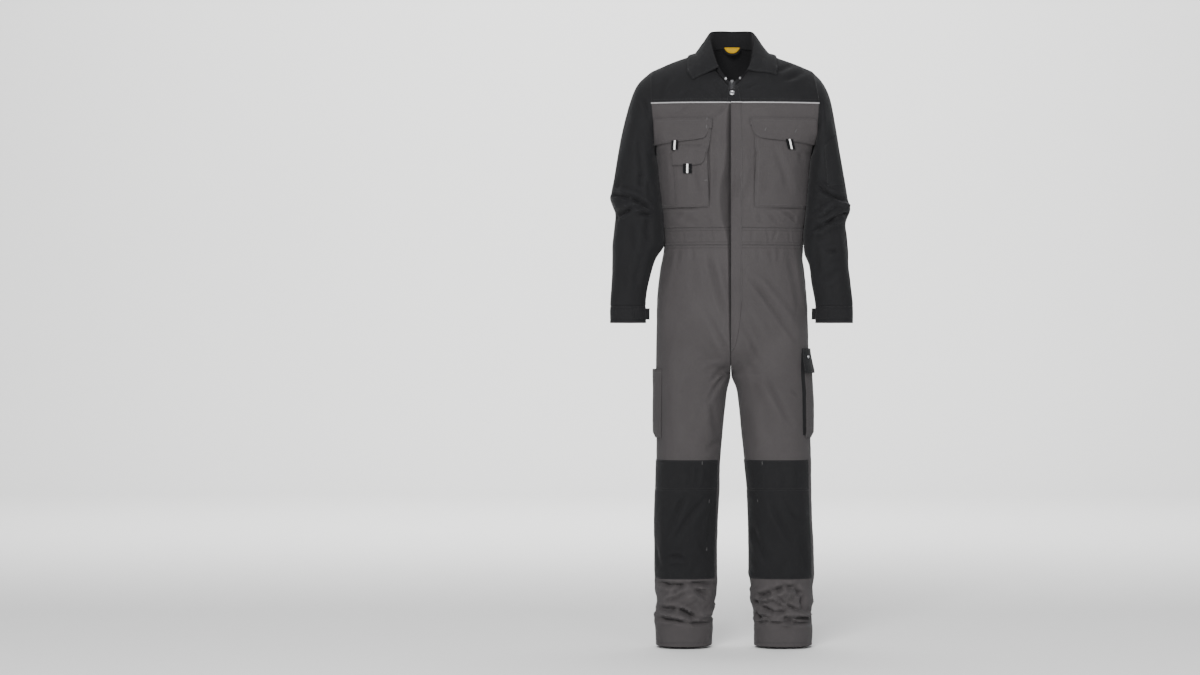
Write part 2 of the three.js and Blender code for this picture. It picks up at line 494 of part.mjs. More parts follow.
const yokeCols = (list) => uniq([...list.filter((u) => abs(u - NECK_K) > 0.02), NECK_K]);
const YR = yokeCols(UR), YL = yokeCols(UL), YB = uniq([0, 0.1, 0.2, 0.31, 0.42, 0.52, NECK_K, 0.7, 0.8, 0.9, 1]);
const yokeFrontEdge = (side) => (k, v, n) => (k === 1 ? squareX(n) : yokeEdge(side, false)(k, v, n));
panel("yoke_front_right", (u, v) => yoke(-1, u, v, false), YR, YOKE_V, yokeInside, BLACK, -WALL, WALL, { edge: yokeFrontEdge(-1) });
panel("yoke_front_left", (u, v) => yoke(1, u, v, false), YL, YOKE_V, yokeInside, BLACK, -WALL, WALL, { edge: yokeFrontEdge(1) });
const YBACK = [...YB, ...YB.slice(0, -1).reverse().map((k) => 2 - k)];
panel("yoke_back", (u, v) => (u <= 1 ? yoke(-1, u, v, true) : yoke(1, 2 - u, v, true)), YBACK, YOKE_V, yokeInside, BLACK, -WALL, WALL, {
  edge: (k, v, n) => (k === 0 ? yokeEdge(-1, true)(0, v, n) : k === 2 ? yokeEdge(1, true)(0, v, n) : n),
});

// ---------- hips and legs ----------
const U_FLY = UL.find((u) => abs(u - frontU(1, 29, REF_Z)) < 1e-4), U_FLY_MID = UL.find((u) => abs(u - frontU(1, 14, REF_Z)) < 1e-4);
const US_LEG = [0, 0.09, 0.2, 0.33, 0.46, 0.59, 0.72, U_FLY, U_FLY_MID, 1];
const riseGap = (side, back) => (u, z) => {
  const p = leg(side, u, z, back);
  return z > CROTCH_Z ? [p[0] + side * 0.2 * smooth(0.88, 1, u), p[1], p[2]] : p;
};
for (const [side, word] of [[-1, "right"], [1, "left"]])
  for (const [back, face] of [[false, "front"], [true, "back"]])
    panel(`trouser_${face}_${word}`, riseGap(side, back), US_LEG, TROUSER_Z, legAxis(side), GREY, -WALL, WALL, {
      edge: (u, z, n) => (u === 1 && z > CROTCH_Z + 1 ? squareX(n) : n),
    });

// ---------- sleeves and cuffs ----------
const TURNS = range(0, 360, 20).slice(0, 20).map((d) => d * DEG);
const SLEEVE_S = [0, 0.5, 1, 2, 3, 4, 5, 6, 7, 8, 9, 10, 11, 12, 13, 14, RINGS];
for (const [side, word] of [[-1, "right"], [1, "left"]]) {
  panel(`sleeve_${word}`, (a, s) => sleeve(side, a, s), TURNS, SLEEVE_S, armCore(side), BLACK, -WALL, WALL, {
    closed: true, edge: (a, s, n) => (s === 0 ? armNormal(side, a) || n : n),
  });
  panel(`cuff_${word}`, (a, v) => cuff(side, a, v), TURNS, [0, 1], armCore(side), BLACK, -WALL, WALL, { closed: true });
  // tab that closes the cuff: lies on its inner front side and sticks out past the edge
  const tabTurns = [108, 126, 144, 162, 172].map((d) => d * DEG);
  const tabRow = (v) => {
    const row = tabTurns.map((a) => cuff(side, a, v));
    row.push(add(row[row.length - 1], [-side * 11, -5, 0]));
    return row;
  };
  const tabNormals = [...tabTurns, 172 * DEG].map((a, i) => (i > 3 ? unit([-side * 0.35, -1, 0]) : bodyNormal((t, v) => cuff(side, t, v), a, 0.5, armCore(side))));
  addMesh(`cuff_tab_${word}`, wallOf([tabRow(0.14), tabRow(0.8)], [tabNormals, tabNormals], LIFT, WALL), BLACK);
}
panel("sleeve_pocket_left", (a, s) => sleeve(1, a, s), TURNS.slice(1, 6), [3.1, 4, 5, 5.6], armCore(1), BLACK, LIFT, WALL);

// ---------- collar ----------
const neckAxis = (p) => [0, 5, p[2] - 8];
const STAND_T = [0.02, 0.07, 0.13, 0.19, 0.25, 0.31, 0.36, 0.4, 0.45, 0.5, 0.55, 0.6, 0.64, 0.69, 0.75, 0.81, 0.87, 0.93, 0.98];
panel("collar_stand", stand, STAND_T, [0, 0.5, 1], neckAxis, BLACK, -WALL, WALL, { edge: (t, v, n) => n });
const LEAF_TS = STAND_T.filter((t) => t > LEAF_T - 0.001 && t < 1 - LEAF_T + 0.001);
panel("collar_leaf", leaf, LEAF_TS, [0, 0.1, 0.25, 0.4, 0.55, 0.7, 0.85, 1], (p) => [0, 5, p[2] - 60], BLACK, 0, WALL);
// hanger loop, drooping inside the back neck, and the plain label behind it
const LOOP_W = 23, LOOP_DROP = 17, LOOP_H = 5;
panel("hanger_loop", (u, v) => [u * LOOP_W, 54 - 3 * (1 - u * u), 39 - LOOP_DROP * pow(1 - pow(abs(u), 2.6), 0.8) - v * LOOP_H],
  range(-0.98, 0.98, 12), [0, 1], (p) => [p[0], 200, p[2]], BLACK, 0, WALL, { inset: [0, 0, 0, 0] });
panel("neck_label", (u, v) => { const q = yoke(u < 0 ? -1 : 1, 1 - abs(u) * 0.1, 1 - v * 0.14, true); return [u * 22, q[1] - 4.2, q[2]]; },
  [-1, 0, 1], [0.1, 1], (p) => [p[0], 200, p[2]], OCHRE, 0, 0.8, { inset: [0, 0, 0, 0] });

// ---------- front closing ----------
const flyCols = [U_FLY, U_FLY_MID, 1];
const frontForm = (u, z) => (z > BAND_LOW ? frontBody(1, u, z) : riseGap(1, false)(u, z));
const flyZ = [...CHEST_Z, ...BAND_Z.slice(1), ...HIP_Z.slice(1).filter((z) => z > FLY_END - 1)];
panel("placket_body", frontForm, flyCols, flyZ, axis, GREY, LIFT, WALL, { edge: (u, z, n) => (u === 1 ? squareX(n) : n) });
const U_OVER = frontU(-1, -15, YOKE_Z);
panel("placket_top", (c, v) => (c <= 1 ? yoke(1, c, v, false) : yoke(-1, 2 - c, v, false)), [U_FLY, U_FLY_MID, 1, 2 - U_OVER], [0, 0.2, 0.4, 0.6, 0.8], yokeInside, BLACK, LIFT, WALL);
const pipe = (u0, u1, list) => between(list, u0, u1);
panel("piping_right", (u, z) => frontBody(-1, u, z), pipe(0, 1, UR), [-119.6, -123.8], axis, LIGHT, LIFT, 1.2, { edge: chestEdge(-1) });
panel("piping_left", (u, z) => frontBody(1, u, z), pipe(0, U_FLY, UL), [-119.6, -123.8], axis, LIGHT, LIFT, 1.2);
panel("piping_placket", (u, z) => frontBody(1, u, z), flyCols, [-119.6, -123.8], axis, LIGHT, 2 * LIFT + WALL, 1.2, { edge: chestEdge(1) });
// zip: tape behind the closed front, its slider at the top, at rest
const ZIP_HALF = 13, ZIP_LOW = -738;
function frontLineY(z) {
  if (z > -84) return lerp(-73, -79, clamp((z + 62) / -22, 0, 1));
  if (z > YOKE_Z) return lerp(-79, -104, smooth(-84, YOKE_Z, z));
  return frontBody(1, 1, z)[1] + 5;
}
const ZIP_Z = [-62, -84, -101, -119, -136, -160, -199, -252, -344, -448, -493, -600, -665, ZIP_LOW];
panel("zip", (x, z) => [x, frontLineY(z), z], [-ZIP_HALF, 0, ZIP_HALF], ZIP_Z, () => [0, 400, -400], BLACK, -1, 1, { inset: [0, 0, 0, 0] });
const slider = new THREE.Shape([[-3, 0], [3, 0], [4.5, 9], [3.4, 11.5], [-3.4, 11.5], [-4.5, 9]].map((q) => new THREE.Vector2(...q)));
const sliderSolid = new THREE.ExtrudeGeometry(slider, { depth: 3, bevelEnabled: false });
addMesh("zip_slider", sliderSolid, STEEL, 0.35, 0.9);
group.children.at(-1).rotation.x = 90 * DEG;
group.children.at(-1).position.set(0, frontLineY(-66) - 1.6, -70);

// ---------- pockets ----------
const lowAt = (table, x) => spline(table.map((r) => r.x), table.map((r) => [r.z]), x)[0];
const LAYER = LIFT + WALL; // one layer up
const R = (u, z) => frontBody(-1, u, z), L = (u, z) => frontBody(1, u, z);
const ux = (side, x) => { const list = side < 0 ? UR : UL, u = frontU(side, x, REF_Z); return list.reduce((a, b) => (abs(b - u) < abs(a - u) ? b : a)); };
const fan = (top, low, n = 3) => range(0, 1, n).map((k) => lerp(top, low, k));
const flapRows = (side, table, top) => (u) => fan(top, lowAt(table, (side < 0 ? R : L)(u, -215)[0]));
const bodyZ = (top) => [top, ...CHEST_Z.filter((z) => z < top - 8 && z >= POCKET_LOW)];
panel("chest_pocket_right", R, between(UR, 0.03, ux(-1, -63)), bodyZ(-172), axis, GREY, LIFT, WALL);
panel("chest_flap_right", R, between(UR, 0.03, ux(-1, -63)), flapRows(-1, FLAP_R, FLAP_TOP), axis, GREY, LIFT + LAYER + 0.3, WALL);
panel("phone_pocket", R, between(UR, ux(-1, -154), ux(-1, -69)), bodyZ(-236), axis, GREY, LIFT + LAYER, WALL);
panel("phone_flap", R, between(UR, ux(-1, -154), ux(-1, -69)), (u) => fan(-231, lowAt(PHONE_FLAP, R(u, -270)[0]), 2), axis, GREY, LIFT + 2 * LAYER, WALL);
panel("chest_pocket_left", L, between(UL, 0.03, ux(1, 63)), bodyZ(-172), axis, GREY, LIFT, WALL);
panel("chest_flap_left", L, between(UL, 0.03, ux(1, 53)), flapRows(1, FLAP_L, FLAP_TOP), axis, GREY, LIFT + LAYER + 0.3, WALL);
// pull tabs at the lower edges of the flaps: middle x, half width, top and low height, layer
const TABS = [
  { name: "flap_tab_right", side: -1, x: -146, half: 8, top: -219, low: -243, layer: 3 },
  { name: "phone_tab", side: -1, x: -113, half: 10.5, top: -281, low: -305, layer: 3 },
  { name: "flap_tab_left", side: 1, x: 147, half: 9, top: -216, low: -241, layer: 2 },
];
for (const t of TABS) {
  const us = [t.x - t.half, t.x, t.x + t.half].map((x) => frontU(t.side, x, (t.top + t.low) / 2)).sort((a, b) => a - b);
  panel(t.name, t.side < 0 ? R : L, us, [t.top, t.low], axis, BLACK, LIFT + t.layer * LAYER + 0.4, WALL);
}

// ---------- legs: knee patches and cargo pockets ----------
const legForm = (side) => (q, z) => legRound(side, q, z);
const front = (side) => (u, z) => leg(side, u, z, false);
const PATCH_U = { right: US_LEG.filter((u) => u < U_FLY_MID + 0.001), left: US_LEG.filter((u) => u > 0.08) };
const patchZ = (a, b) => LEG_Z.filter((z) => z <= a && z >= b);
for (const [side, word] of [[-1, "right"], [1, "left"]]) {
  panel(`knee_patch_upper_${word}`, front(side), PATCH_U[word], patchZ(PATCH_TOP, PATCH_SEAM), legAxis(side), BLACK, LIFT, WALL);
  panel(`knee_patch_lower_${word}`, front(side), PATCH_U[word], patchZ(PATCH_SEAM, PATCH_LOW), legAxis(side), BLACK, LIFT, WALL);
}
// bellows pockets on the outside of the thighs: sewn down at the edges, standing off in the middle
const CARGO_Q = [-0.2, -0.09, 0, 0.09, 0.2, 0.33, 0.46], CARGO_Z = [-818, -870, -932, -999];
const puff = (height) => (j, i) => LIFT + height[i];
panel("cargo_pocket_right", legForm(-1), CARGO_Q, CARGO_Z, legAxis(-1), GREY, puff([0, 6, 8, 9, 9, 6, 0]), WALL);
panel("cargo_pocket_left", legForm(1), CARGO_Q, CARGO_Z, legAxis(1), GREY, puff([2, 8, 9, 9, 9, 6, 0]), WALL);
const CARGO_FLAP_Z = [-764, -810, -829];
panel("cargo_flap_left", legForm(1), CARGO_Q, CARGO_FLAP_Z, legAxis(1), BLACK, (j, i) => LIFT + [2, 3, 3, 3, 3, 2, 1][i] + j * 4.6 + (j === 2 ? 3 : 0), WALL);

// ---------- snaps ----------
function snap(name, at, normal, radius, height) {
  const m = addMesh(name, new THREE.CylinderGeometry(radius * 0.8, radius, height, 20), STEEL, 0.3, 0.95);
  m.quaternion.setFromUnitVectors(new THREE.Vector3(0, 1, 0), new THREE.Vector3(...normal));
  m.position.set(...add(at, normal, height / 2));
}
const topForm = (c, v) => (c <= 1 ? yoke(1, c, v, false) : yoke(-1, 2 - c, v, false));
{
  const n = bodyNormal(topForm, 1, 0.52, yokeInside);
  snap("snap_top", add(topForm(1, 0.52), n, LIFT + WALL + 1.2), n, SNAP_R, 3);
}
for (const [word, t, v] of [["right", 0.05, 0.7], ["left", 0.945, 0.95]]) {
  const n = bodyNormal(stand, t, v, neckAxis);
  snap(`snap_stand_${word}`, add(stand(t, v), n, 2.3), n, STUD_R, 2.4);
}
{
  const n = bodyNormal(legForm(1), -0.145, -787, legAxis(1));
  snap("cargo_snap_left", add(legRound(1, -0.145, -787), n, LIFT + 3 + 4.6 + WALL), n, STUD_R, 2.4);
}

export default group;
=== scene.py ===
import math
import bpy
import numpy as np
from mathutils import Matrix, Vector


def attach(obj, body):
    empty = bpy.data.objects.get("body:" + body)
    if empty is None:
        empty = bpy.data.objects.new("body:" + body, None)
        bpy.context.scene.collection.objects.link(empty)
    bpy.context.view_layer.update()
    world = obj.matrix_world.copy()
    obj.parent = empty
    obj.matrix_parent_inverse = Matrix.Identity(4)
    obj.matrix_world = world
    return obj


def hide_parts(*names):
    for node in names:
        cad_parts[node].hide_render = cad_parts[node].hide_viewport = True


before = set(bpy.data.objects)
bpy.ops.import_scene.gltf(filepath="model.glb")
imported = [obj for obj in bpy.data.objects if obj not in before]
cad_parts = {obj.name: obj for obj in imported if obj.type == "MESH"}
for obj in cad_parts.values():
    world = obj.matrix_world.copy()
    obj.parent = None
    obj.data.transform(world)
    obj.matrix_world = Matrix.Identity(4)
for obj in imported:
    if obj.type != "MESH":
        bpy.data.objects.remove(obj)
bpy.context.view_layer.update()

STEP = 5.6     # lattice step on the cloth, mm
WALL = 1.0                       # cloth as drawn, mm
MM = 0.001

# ------------------------------------------------------------------ sizes, mm
YOKE_Z, UNDERARM_Z = -119.0, -252.0
BAND_TOP, BAND_LOW = -448.0, -493.0
CROTCH_Z, RISE_Z = -832.0, -735.0
HEM_Z, HEM_FOLD_Z = -1549.0, -1492.0
CUFF_TOP, CUFF_LOW = -652.0, -697.0
FLY_END = -769.0
ARM_FRONT, ARM_BACK = 84.0, 80.0
SHOULDER_Z = -32.0
FRONT_X = -3.0
NECK_K = 0.62
PATCH_TOP, PATCH_SEAM, PATCH_LOW = -1057.0, -1134.0, -1370.0
PI = math.pi
RAD = PI / 180


def table(names, rows):
    rows = sorted(rows)
    cols = names.split()
    return {c: np.array([r[i] for r in rows], float) for i, c in enumerate(cols)}


BODY = table("z xl xr f b n", [
    (-119, -212, 228.7, 112, 108, 2.5), (-159, -208.5, 226.6, 120, 113, 2.5), (-199, -204, 222.6, 125, 116, 2.5),
    (-238, -200, 211.5, 127, 117, 2.5), (-278, -196, 206, 127, 116, 2.45), (-345, -191, 201, 123, 112, 2.4),
    (-398, -186.5, 198, 119, 109, 2.4), (-448, -183, 193, 114, 107, 2.4), (-493, -181, 189, 112, 108, 2.4),
    (-525, -185, 187, 114, 113, 2.4), (-557, -191, 191, 117, 120, 2.4), (-620, -198, 197, 121, 130, 2.4),
    (-700, -200, 200.5, 120, 136, 2.4), (-771, -201, 201.4, 116, 134, 2.35), (-860, -201, 204, 108, 122, 2.3)])
LEGS = {
    -1: table("z o i f b y", [
        (-700, -200, -3.3, 110, 124, 6), (-832, -201, -3.4, 102, 108, 6), (-870, -201, -11, 99, 103, 6), (-901, -201, -16, 97, 100, 5),
        (-975, -201, -24, 93, 95, 4), (-1068, -201, -32, 88, 88, 2), (-1124, -201, -33, 86, 84, 0), (-1216, -204, -37, 83, 80, 2),
        (-1291, -204, -40, 80, 79, 6), (-1365, -204, -40, 78, 79, 10), (-1402, -203, -42, 77, 78, 11), (-1439, -202, -46, 78, 78, 12),
        (-1476, -207, -52, 77, 77, 12), (-1505, -203, -51, 74, 75, 12), (-1549, -201, -55, 73, 74, 12)]),
    1: table("z o i f b y", [
        (-700, 200.5, -2.7, 110, 124, 6), (-832, 203, -2.6, 102, 108, 6), (-870, 205, 11, 99, 103, 6), (-901, 206, 16, 97, 100, 5),
        (-975, 206, 24, 93, 95, 4), (-1068, 209, 34, 88, 88, 2), (-1124, 210, 40, 86, 84, 0), (-1216, 213, 44, 83, 80, 2),
        (-1291, 217, 45, 80, 79, 6), (-1365, 219, 45, 78, 79, 10), (-1402, 217, 48, 77, 78, 11), (-1439, 215, 51, 78, 78, 12),
        (-1476, 211, 57, 77, 77, 12), (-1505, 213, 58, 74, 75, 12), (-1549, 212, 58, 73, 74, 12)])}
# sleeve rings in order down the arm: outer x z, inner x z, half depth, middle y, stand-out
SLEEVES = {
    -1: np.array([
        (-249, -64, -200.6, -254.5, 83, 0, 3), (-270, -111, -199.2, -259, 81, -3, 0), (-290, -190, -196.2, -268, 78, -8, 0),
        (-300, -243, -192.8, -290, 74, -14, 0), (-309, -300, -190.6, -325, 70, -20, 0), (-318, -350, -186.4, -360, 67, -26, 0),
        (-322, -368, -184.6, -377, 66, -28, 0), (-314, -392, -182.4, -397, 64, -31, 0), (-308, -413, -181.2, -415, 62, -33, 0),
        (-312, -461, -178.4, -461, 62, -37, 0), (-315, -493, -178.4, -493, 61, -40, 0), (-315, -530, -200, -530, 58, -43, 0),
        (-316, -570, -213, -570, 54, -46, 0), (-318, -604, -222, -604, 49, -48, 0), (-320, -632, -226, -632, 44, -49, 0),
        (-320.5, -652, -227, -652, 40, -50, 0)], float),
    1: np.array([
        (241, -64, 210.0, -254.5, 83, 0, 7), (262, -111, 208.6, -259, 81, -3, 0), (276, -190, 205.4, -268, 78, -8, 0),
        (285, -243, 202.8, -290, 74, -14, 0), (295, -300, 200.6, -325, 70, -20, 0), (303, -350, 197.4, -360, 67, -26, 0),
        (306, -370, 196.0, -377, 66, -28, 0), (312, -398, 194.4, -400, 64, -31, 0), (300, -433, 191.2, -433, 62, -34, 0),
        (303, -470, 187.6, -468, 62, -38, 0), (306, -510, 190.6, -510, 61, -41, 0), (306, -545, 204, -545, 57, -44, 0),
        (311, -588, 210, -588, 52, -47, 0), (315, -620, 216, -620, 46, -49, 0), (317, -638, 219, -638, 42, -50, 0),
        (318, -652, 220, -652, 40, -50, 0)], float)}
RINGS = 16
SHOULDER = table("x z", [(68, 20), (93, 14), (135, 0), (175, -15), (214, SHOULDER_Z)])
LEAF_T = 0.13
COLLAR_T = np.array([0, .13, .25, .36, .43, .5, .57, .64, .75, .87, 1.0])
COLLAR_FOLD = np.array([(-5, -82, -66), (-35, -74, -27), (-52, -42, 26), (-58, -2, 64), (-48, 34, 77), (0, 52, 79),
                        (48, 34, 77), (58, -2, 62), (55, -42, 22), (41, -74, -34), (4, -82, -66)], float)
COLLAR_EDGE = np.array([(-100, -103, -64), (-103, -101.5, -61), (-118, -79, -30), (-103, 16, 8), (-74, 76, 8), (0, 94, 8),
                        (74, 76, 8), (104, 14, 6), (119, -74, -22), (117, -94, -48), (114, -97, -52)], float)

# folds: start x z, end x z, half width, height (below 0 a trough), bow, lean; mm
BODY_FOLDS = [
    (-50, -164, -13, -127, 7, -2.2, -3, 0),
    (-42, -238, -50, -371, 16, -2, 0, 0),
    (-32, -138, -37, -440, 12, 1.6, 2, 0),
    (-93, -238, -95, -384, 10, -1.2, 2, 0),
    (-106, -292, -80, -371, 8, -1.2, 0, 0),
    (-183, -238, -175, -384, 9, -1.5, 0, 0),
    (-170, -403, -85, -445, 10, -1.5, -3, 0),
    (-111, -408, -159, -445, 8, 1.2, 0, 0),
    (-53, -408, -42, -445, 9, 1.5, 0, 0),
    (24, -286, 3, -435, 9, -2.4, 4, 0),
    (48, -331, 19, -408, 9, -1.8, 3, 0),
    (34, -238, 37, -371, 14, 1.6, 0, 0),
    (109, -238, 146, -350, 9, -1.6, -3, 0),
    (178, -244, 193, -292, 8, -2.2, 2, 0),
    (154, -265, 172, -371, 12, 1.4, 0, 0),
    (85, -265, 95, -384, 12, -1, 2, 0),
    (138, -408, 172, -437, 4.5, -2.6, -4, 0),
    (117, -403, 143, -424, 5, 1.4, 0, 0),
    (95, -408, 127, -440, 6, -1.6, 2, 0),
    (180, -403, 167, -440, 6, 1.4, 0, 0),
    (66, -408, 80, -443, 7, -1.3, 0, 0),
    (53, -132, 101, -154, 10, 1, 0, 0),
    (-111, -127, -159, -151, 9, -1, 0, 0),
    (-170, -453, -167, -488, 4, -1.2, 0, 0),
    (-127, -456, -125, -490, 4, -0.9, 0, 0),
    (-85, -450, -82, -488, 4, -1, 0, 0),
    (-53, -453, -48, -490, 4, -1.2, 0, 0),
    (53, -453, 50, -488, 4, -1, 0, 0),
    (90, -453, 98, -490, 4, -1.2, 0, 0),
    (117, -453, 103, -490, 4, -1.3, 0, 0),
    (148, -453, 154, -488, 4, -1, 0, 0),
    (175, -453, 178, -488, 4, -1.1, 0, 0),
    (-64, -498, -19, -678, 8, -5.5, 5, 0.25),
    (-40, -535, -16, -636, 7, 2.5, 0, 0),
    (-85, -504, -69, -636, 12, 2.2, 3, 0),
    (-106, -496, -101, -535, 6, -2, 0, 0),
    (-138, -496, -148, -556, 7, -2, 0, 0),
    (-162, -498, -191, -610, 10, -3, -3, 0),
    (-180, -530, -186, -716, 16, 2, 0, 0),
    (-77, -652, -8, -798, 7, -3.5, -6, 0),
    (-69, -716, -26, -774, 9, 2.2, -3, 0),
    (-8, -811, -53, -848, 6, -5.5, 4, -0.2),
    (-11, -827, -64, -906, 6, -4.5, 5, 0),
    (-61, -901, -40, -1002, 9, -3, -4, 0),
    (-19, -800, -85, -811, 8, 2.5, 3, 0),
    (-42, -859, -74, -980, 12, 2.5, 4, 0),
    (-111, -827, -117, -954, 18, -2.2, 3, 0),
    (-159, -848, -154, -980, 16, 1.8, 0, 0),
    (-85, -954, -127, -1039, 14, -2, 4, 0),
    (-29, -1004, -69, -1034, 8, -3.5, 2, 0),
    (-180, -742, -175, -848, 12, -2, 0, 0),
    (34, -567, 175, -761, 8, -5, -5, 0.25),
    (53, -562, 186, -731, 9, 2.6, -6, 0),
    (32, -636, 106, -763, 10, 2.2, -4, 0),
    (29, -705, 69, -800, 7, -3.5, -4, 0),
    (85, -822, 164, -975, 8, -4.2, 6, 0.2),
    (66, -811, 143, -980, 11, 2.4, 6, 0),
    (37, -795, 117, -906, 9, -2.2, -4, 0),
    (146, -498, 183, -705, 9, -3, -4, 0),
    (162, -504, 196, -689, 11, 2.2, 0, 0),
    (64, -496, 69, -535, 6, -1.8, 0, 0),
    (95, -496, 106, -546, 6, -2, 0, 0),
    (125, -496, 117, -541, 6, -1.6, 0, 0),
    (34, -535, 24, -615, 6, -1.6, 2, 0),
    (156, -869, 175, -888, 5, -3, 2, 0),
    (37, -901, 53, -1034, 12, -2.4, 3, 0),
    (85, -928, 106, -1034, 14, -1.8, 0, 0),
    (11, -716, 3, -763, 6, -1.8, 0, 0),
    (24, -774, 53, -880, 8, 2, 0, 0),
    (180, -636, 170, -755, 8, 1.5, 0, 0),
    (13, -610, 16, -742, 7, 1.6, 0, 0),
    (5, -774, 3, -811, 4, -1.2, 0, 0),
]
KNEE_FOLDS = [
    (-132, -1068, -127, -1132, 7, 1.6, 0, 0),
    (-111, -1065, -111, -1132, 6, -1.6, 0, 0),
    (-90, -1073, -101, -1132, 7, -2, 0, 0),
    (-77, -1076, -85, -1132, 6, 1.4, 0, 0),
    (-119, -1142, -170, -1256, 8, -3.6, 6, 0.2),
    (-101, -1145, -143, -1232, 9, 2.6, 4, 0),
    (-64, -1147, -164, -1283, 7, -3.8, 6, 0.2),
    (-53, -1158, -111, -1251, 9, 2.2, 4, 0),
    (-186, -1166, -180, -1325, 9, 2, 0, 0),
    (-175, -1314, -122, -1317, 4.5, -4.5, -5, 0.3),
    (-170, -1328, -117, -1330, 5, 2.8, -4, 0),
    (-85, -1259, -53, -1325, 9, -2, 3, 0),
    (-199, -1285, -186, -1341, 6, -3, 3, 0),
    (-85, -1325, -111, -1359, 8, -1.6, 0, 0),
    (-53, -1179, -64, -1293, 7, -2.4, 2, 0),
    (-148, -1272, -138, -1362, 10, -1.4, 0, 0),
    (53, -1137, 77, -1174, 6, -2.6, 0, 0),
    (95, -1150, 170, -1293, 8, -3.6, 6, 0.2),
    (117, -1145, 183, -1256, 10, 2.4, 5, 0),
    (53, -1224, 90, -1330, 8, -3.8, 4, 0.2),
    (74, -1214, 106, -1304, 10, 2.2, 4, 0),
    (143, -1081, 135, -1132, 7, -1.4, 0, 0),
    (117, -1073, 122, -1132, 8, 1.2, 0, 0),
    (170, -1073, 172, -1132, 6, -1.6, 0, 0),
    (66, -1076, 74, -1129, 7, -1.4, 0, 0),
    (143, -1314, 122, -1362, 9, -1.8, 0, 0),
    (180, -1272, 196, -1357, 8, -2, 0, 0),
    (34, -1325, 64, -1362, 7, -2, 0, 0),
    (154, -1192, 196, -1219, 8, -1.6, 2, 0),
]
HEM_FOLDS_R = [
    (-198, -1382, -121, -1385, 8, -7, 3, 0),
    (-121, -1385, -47, -1389, 8, -7, -3, 0),
    (-125, -1387, -157, -1412, 8, -6, 3, 0),
    (-111, -1389, -58, -1431, 9, -6, -5, 0),
    (-121, -1397, -179, -1428, 10, 5, 4, 0),
    (-119, -1404, -108, -1435, 22, 6, 0, 0),
    (-195, -1448, -145, -1448, 9, -8, 3, 0),
    (-145, -1448, -96, -1476, 8, -8, -3, 0),
    (-149, -1439, -92, -1461, 7, 4, 0, 0),
    (-189, -1461, -111, -1482, 9, 5, -3, 0),
    (-198, -1476, -119, -1485, 6, -6, -2, 0),
    (-119, -1486, -51, -1487, 6, -5, 2, 0),
    (-89, -1465, -53, -1458, 12, 5, 2, 0),
]
HEM_FOLDS_L = [
    (63, -1418, 103, -1403, 9, -7, 2, 0),
    (103, -1403, 139, -1389, 9, -7, 3, 0),
    (139, -1389, 165, -1390, 9, -6, 3, 0),
    (165, -1390, 186, -1412, 9, -7, 4, 0),
    (186, -1412, 193, -1454, 9, -6, 3, 0),
    (142, -1408, 157, -1420, 24, 7, 0, 0),
    (70, -1426, 108, -1419, 7, 5, 2, 0),
    (108, -1419, 152, -1440, 7, 5, 2, 0),
    (112, -1413, 184, -1457, 5, -5, 4, 0),
    (70, -1446, 112, -1463, 8, -6, -3, 0),
    (112, -1463, 146, -1458, 8, -5, -3, 0),
    (67, -1458, 131, -1472, 7, 4, -2, 0),
    (55, -1433, 70, -1435, 7, -8, 0, 0),
    (59, -1461, 74, -1480, 8, -8, 0, 0),
    (131, -1476, 165, -1483, 10, -7, -2, 0),
    (157, -1461, 214, -1471, 9, 5, -2, 0),
    (165, -1476, 216, -1476, 6, -7, -2, 0),
    (93, -1476, 146, -1487, 8, 4, -2, 0),
    (63, -1489, 93, -1479, 5, -5, 2, 0),
    (93, -1485, 218, -1490, 5, -5, -2, 0),
]
SLEEVE_FOLDS_R = [
    (-236, -101, -217, -164, 6, -3.5, -2, 0),
    (-244, -201, -233, -297, 9, -3, 3, 0),
    (-217, -180, -207, -278, 8, 2, 0, 0),
    (-233, -297, -238, -344, 10, -5, 0, 0),
    (-217, -307, -204, -382, 9, -4.5, 2, 0),
    (-254, -238, -260, -331, 14, 2.2, 0, 0),
    (-276, -132, -286, -265, 18, -1.6, 3, 0),
    (-323, -360, -270, -371, 6, -7, -2, 0.3),
    (-270, -371, -212, -400, 6, -8, -3, 0.3),
    (-307, -350, -238, -363, 7, 4, -3, 0),
    (-313, -387, -260, -387, 8, 6, 3, 0),
    (-305, -416, -262, -395, 5, -6, 3, 0),
    (-262, -403, -204, -405, 6, 5, -2, 0),
    (-244, -408, -201, -421, 5, -4.5, -2, 0),
    (-217, -416, -215, -485, 9, -4.5, 4, 0),
    (-244, -429, -244, -504, 11, 2.5, 3, 0),
    (-276, -429, -260, -530, 12, -2.2, -3, 0),
    (-302, -440, -294, -583, 14, 1.6, 0, 0),
    (-231, -504, -254, -610, 10, -2.2, 3, 0),
    (-286, -535, -281, -625, 10, -1.4, 0, 0),
    (-318, -408, -297, -429, 5, -4, 0, 0),
    (-292, -318, -307, -350, 7, -2.5, 0, 0),
]
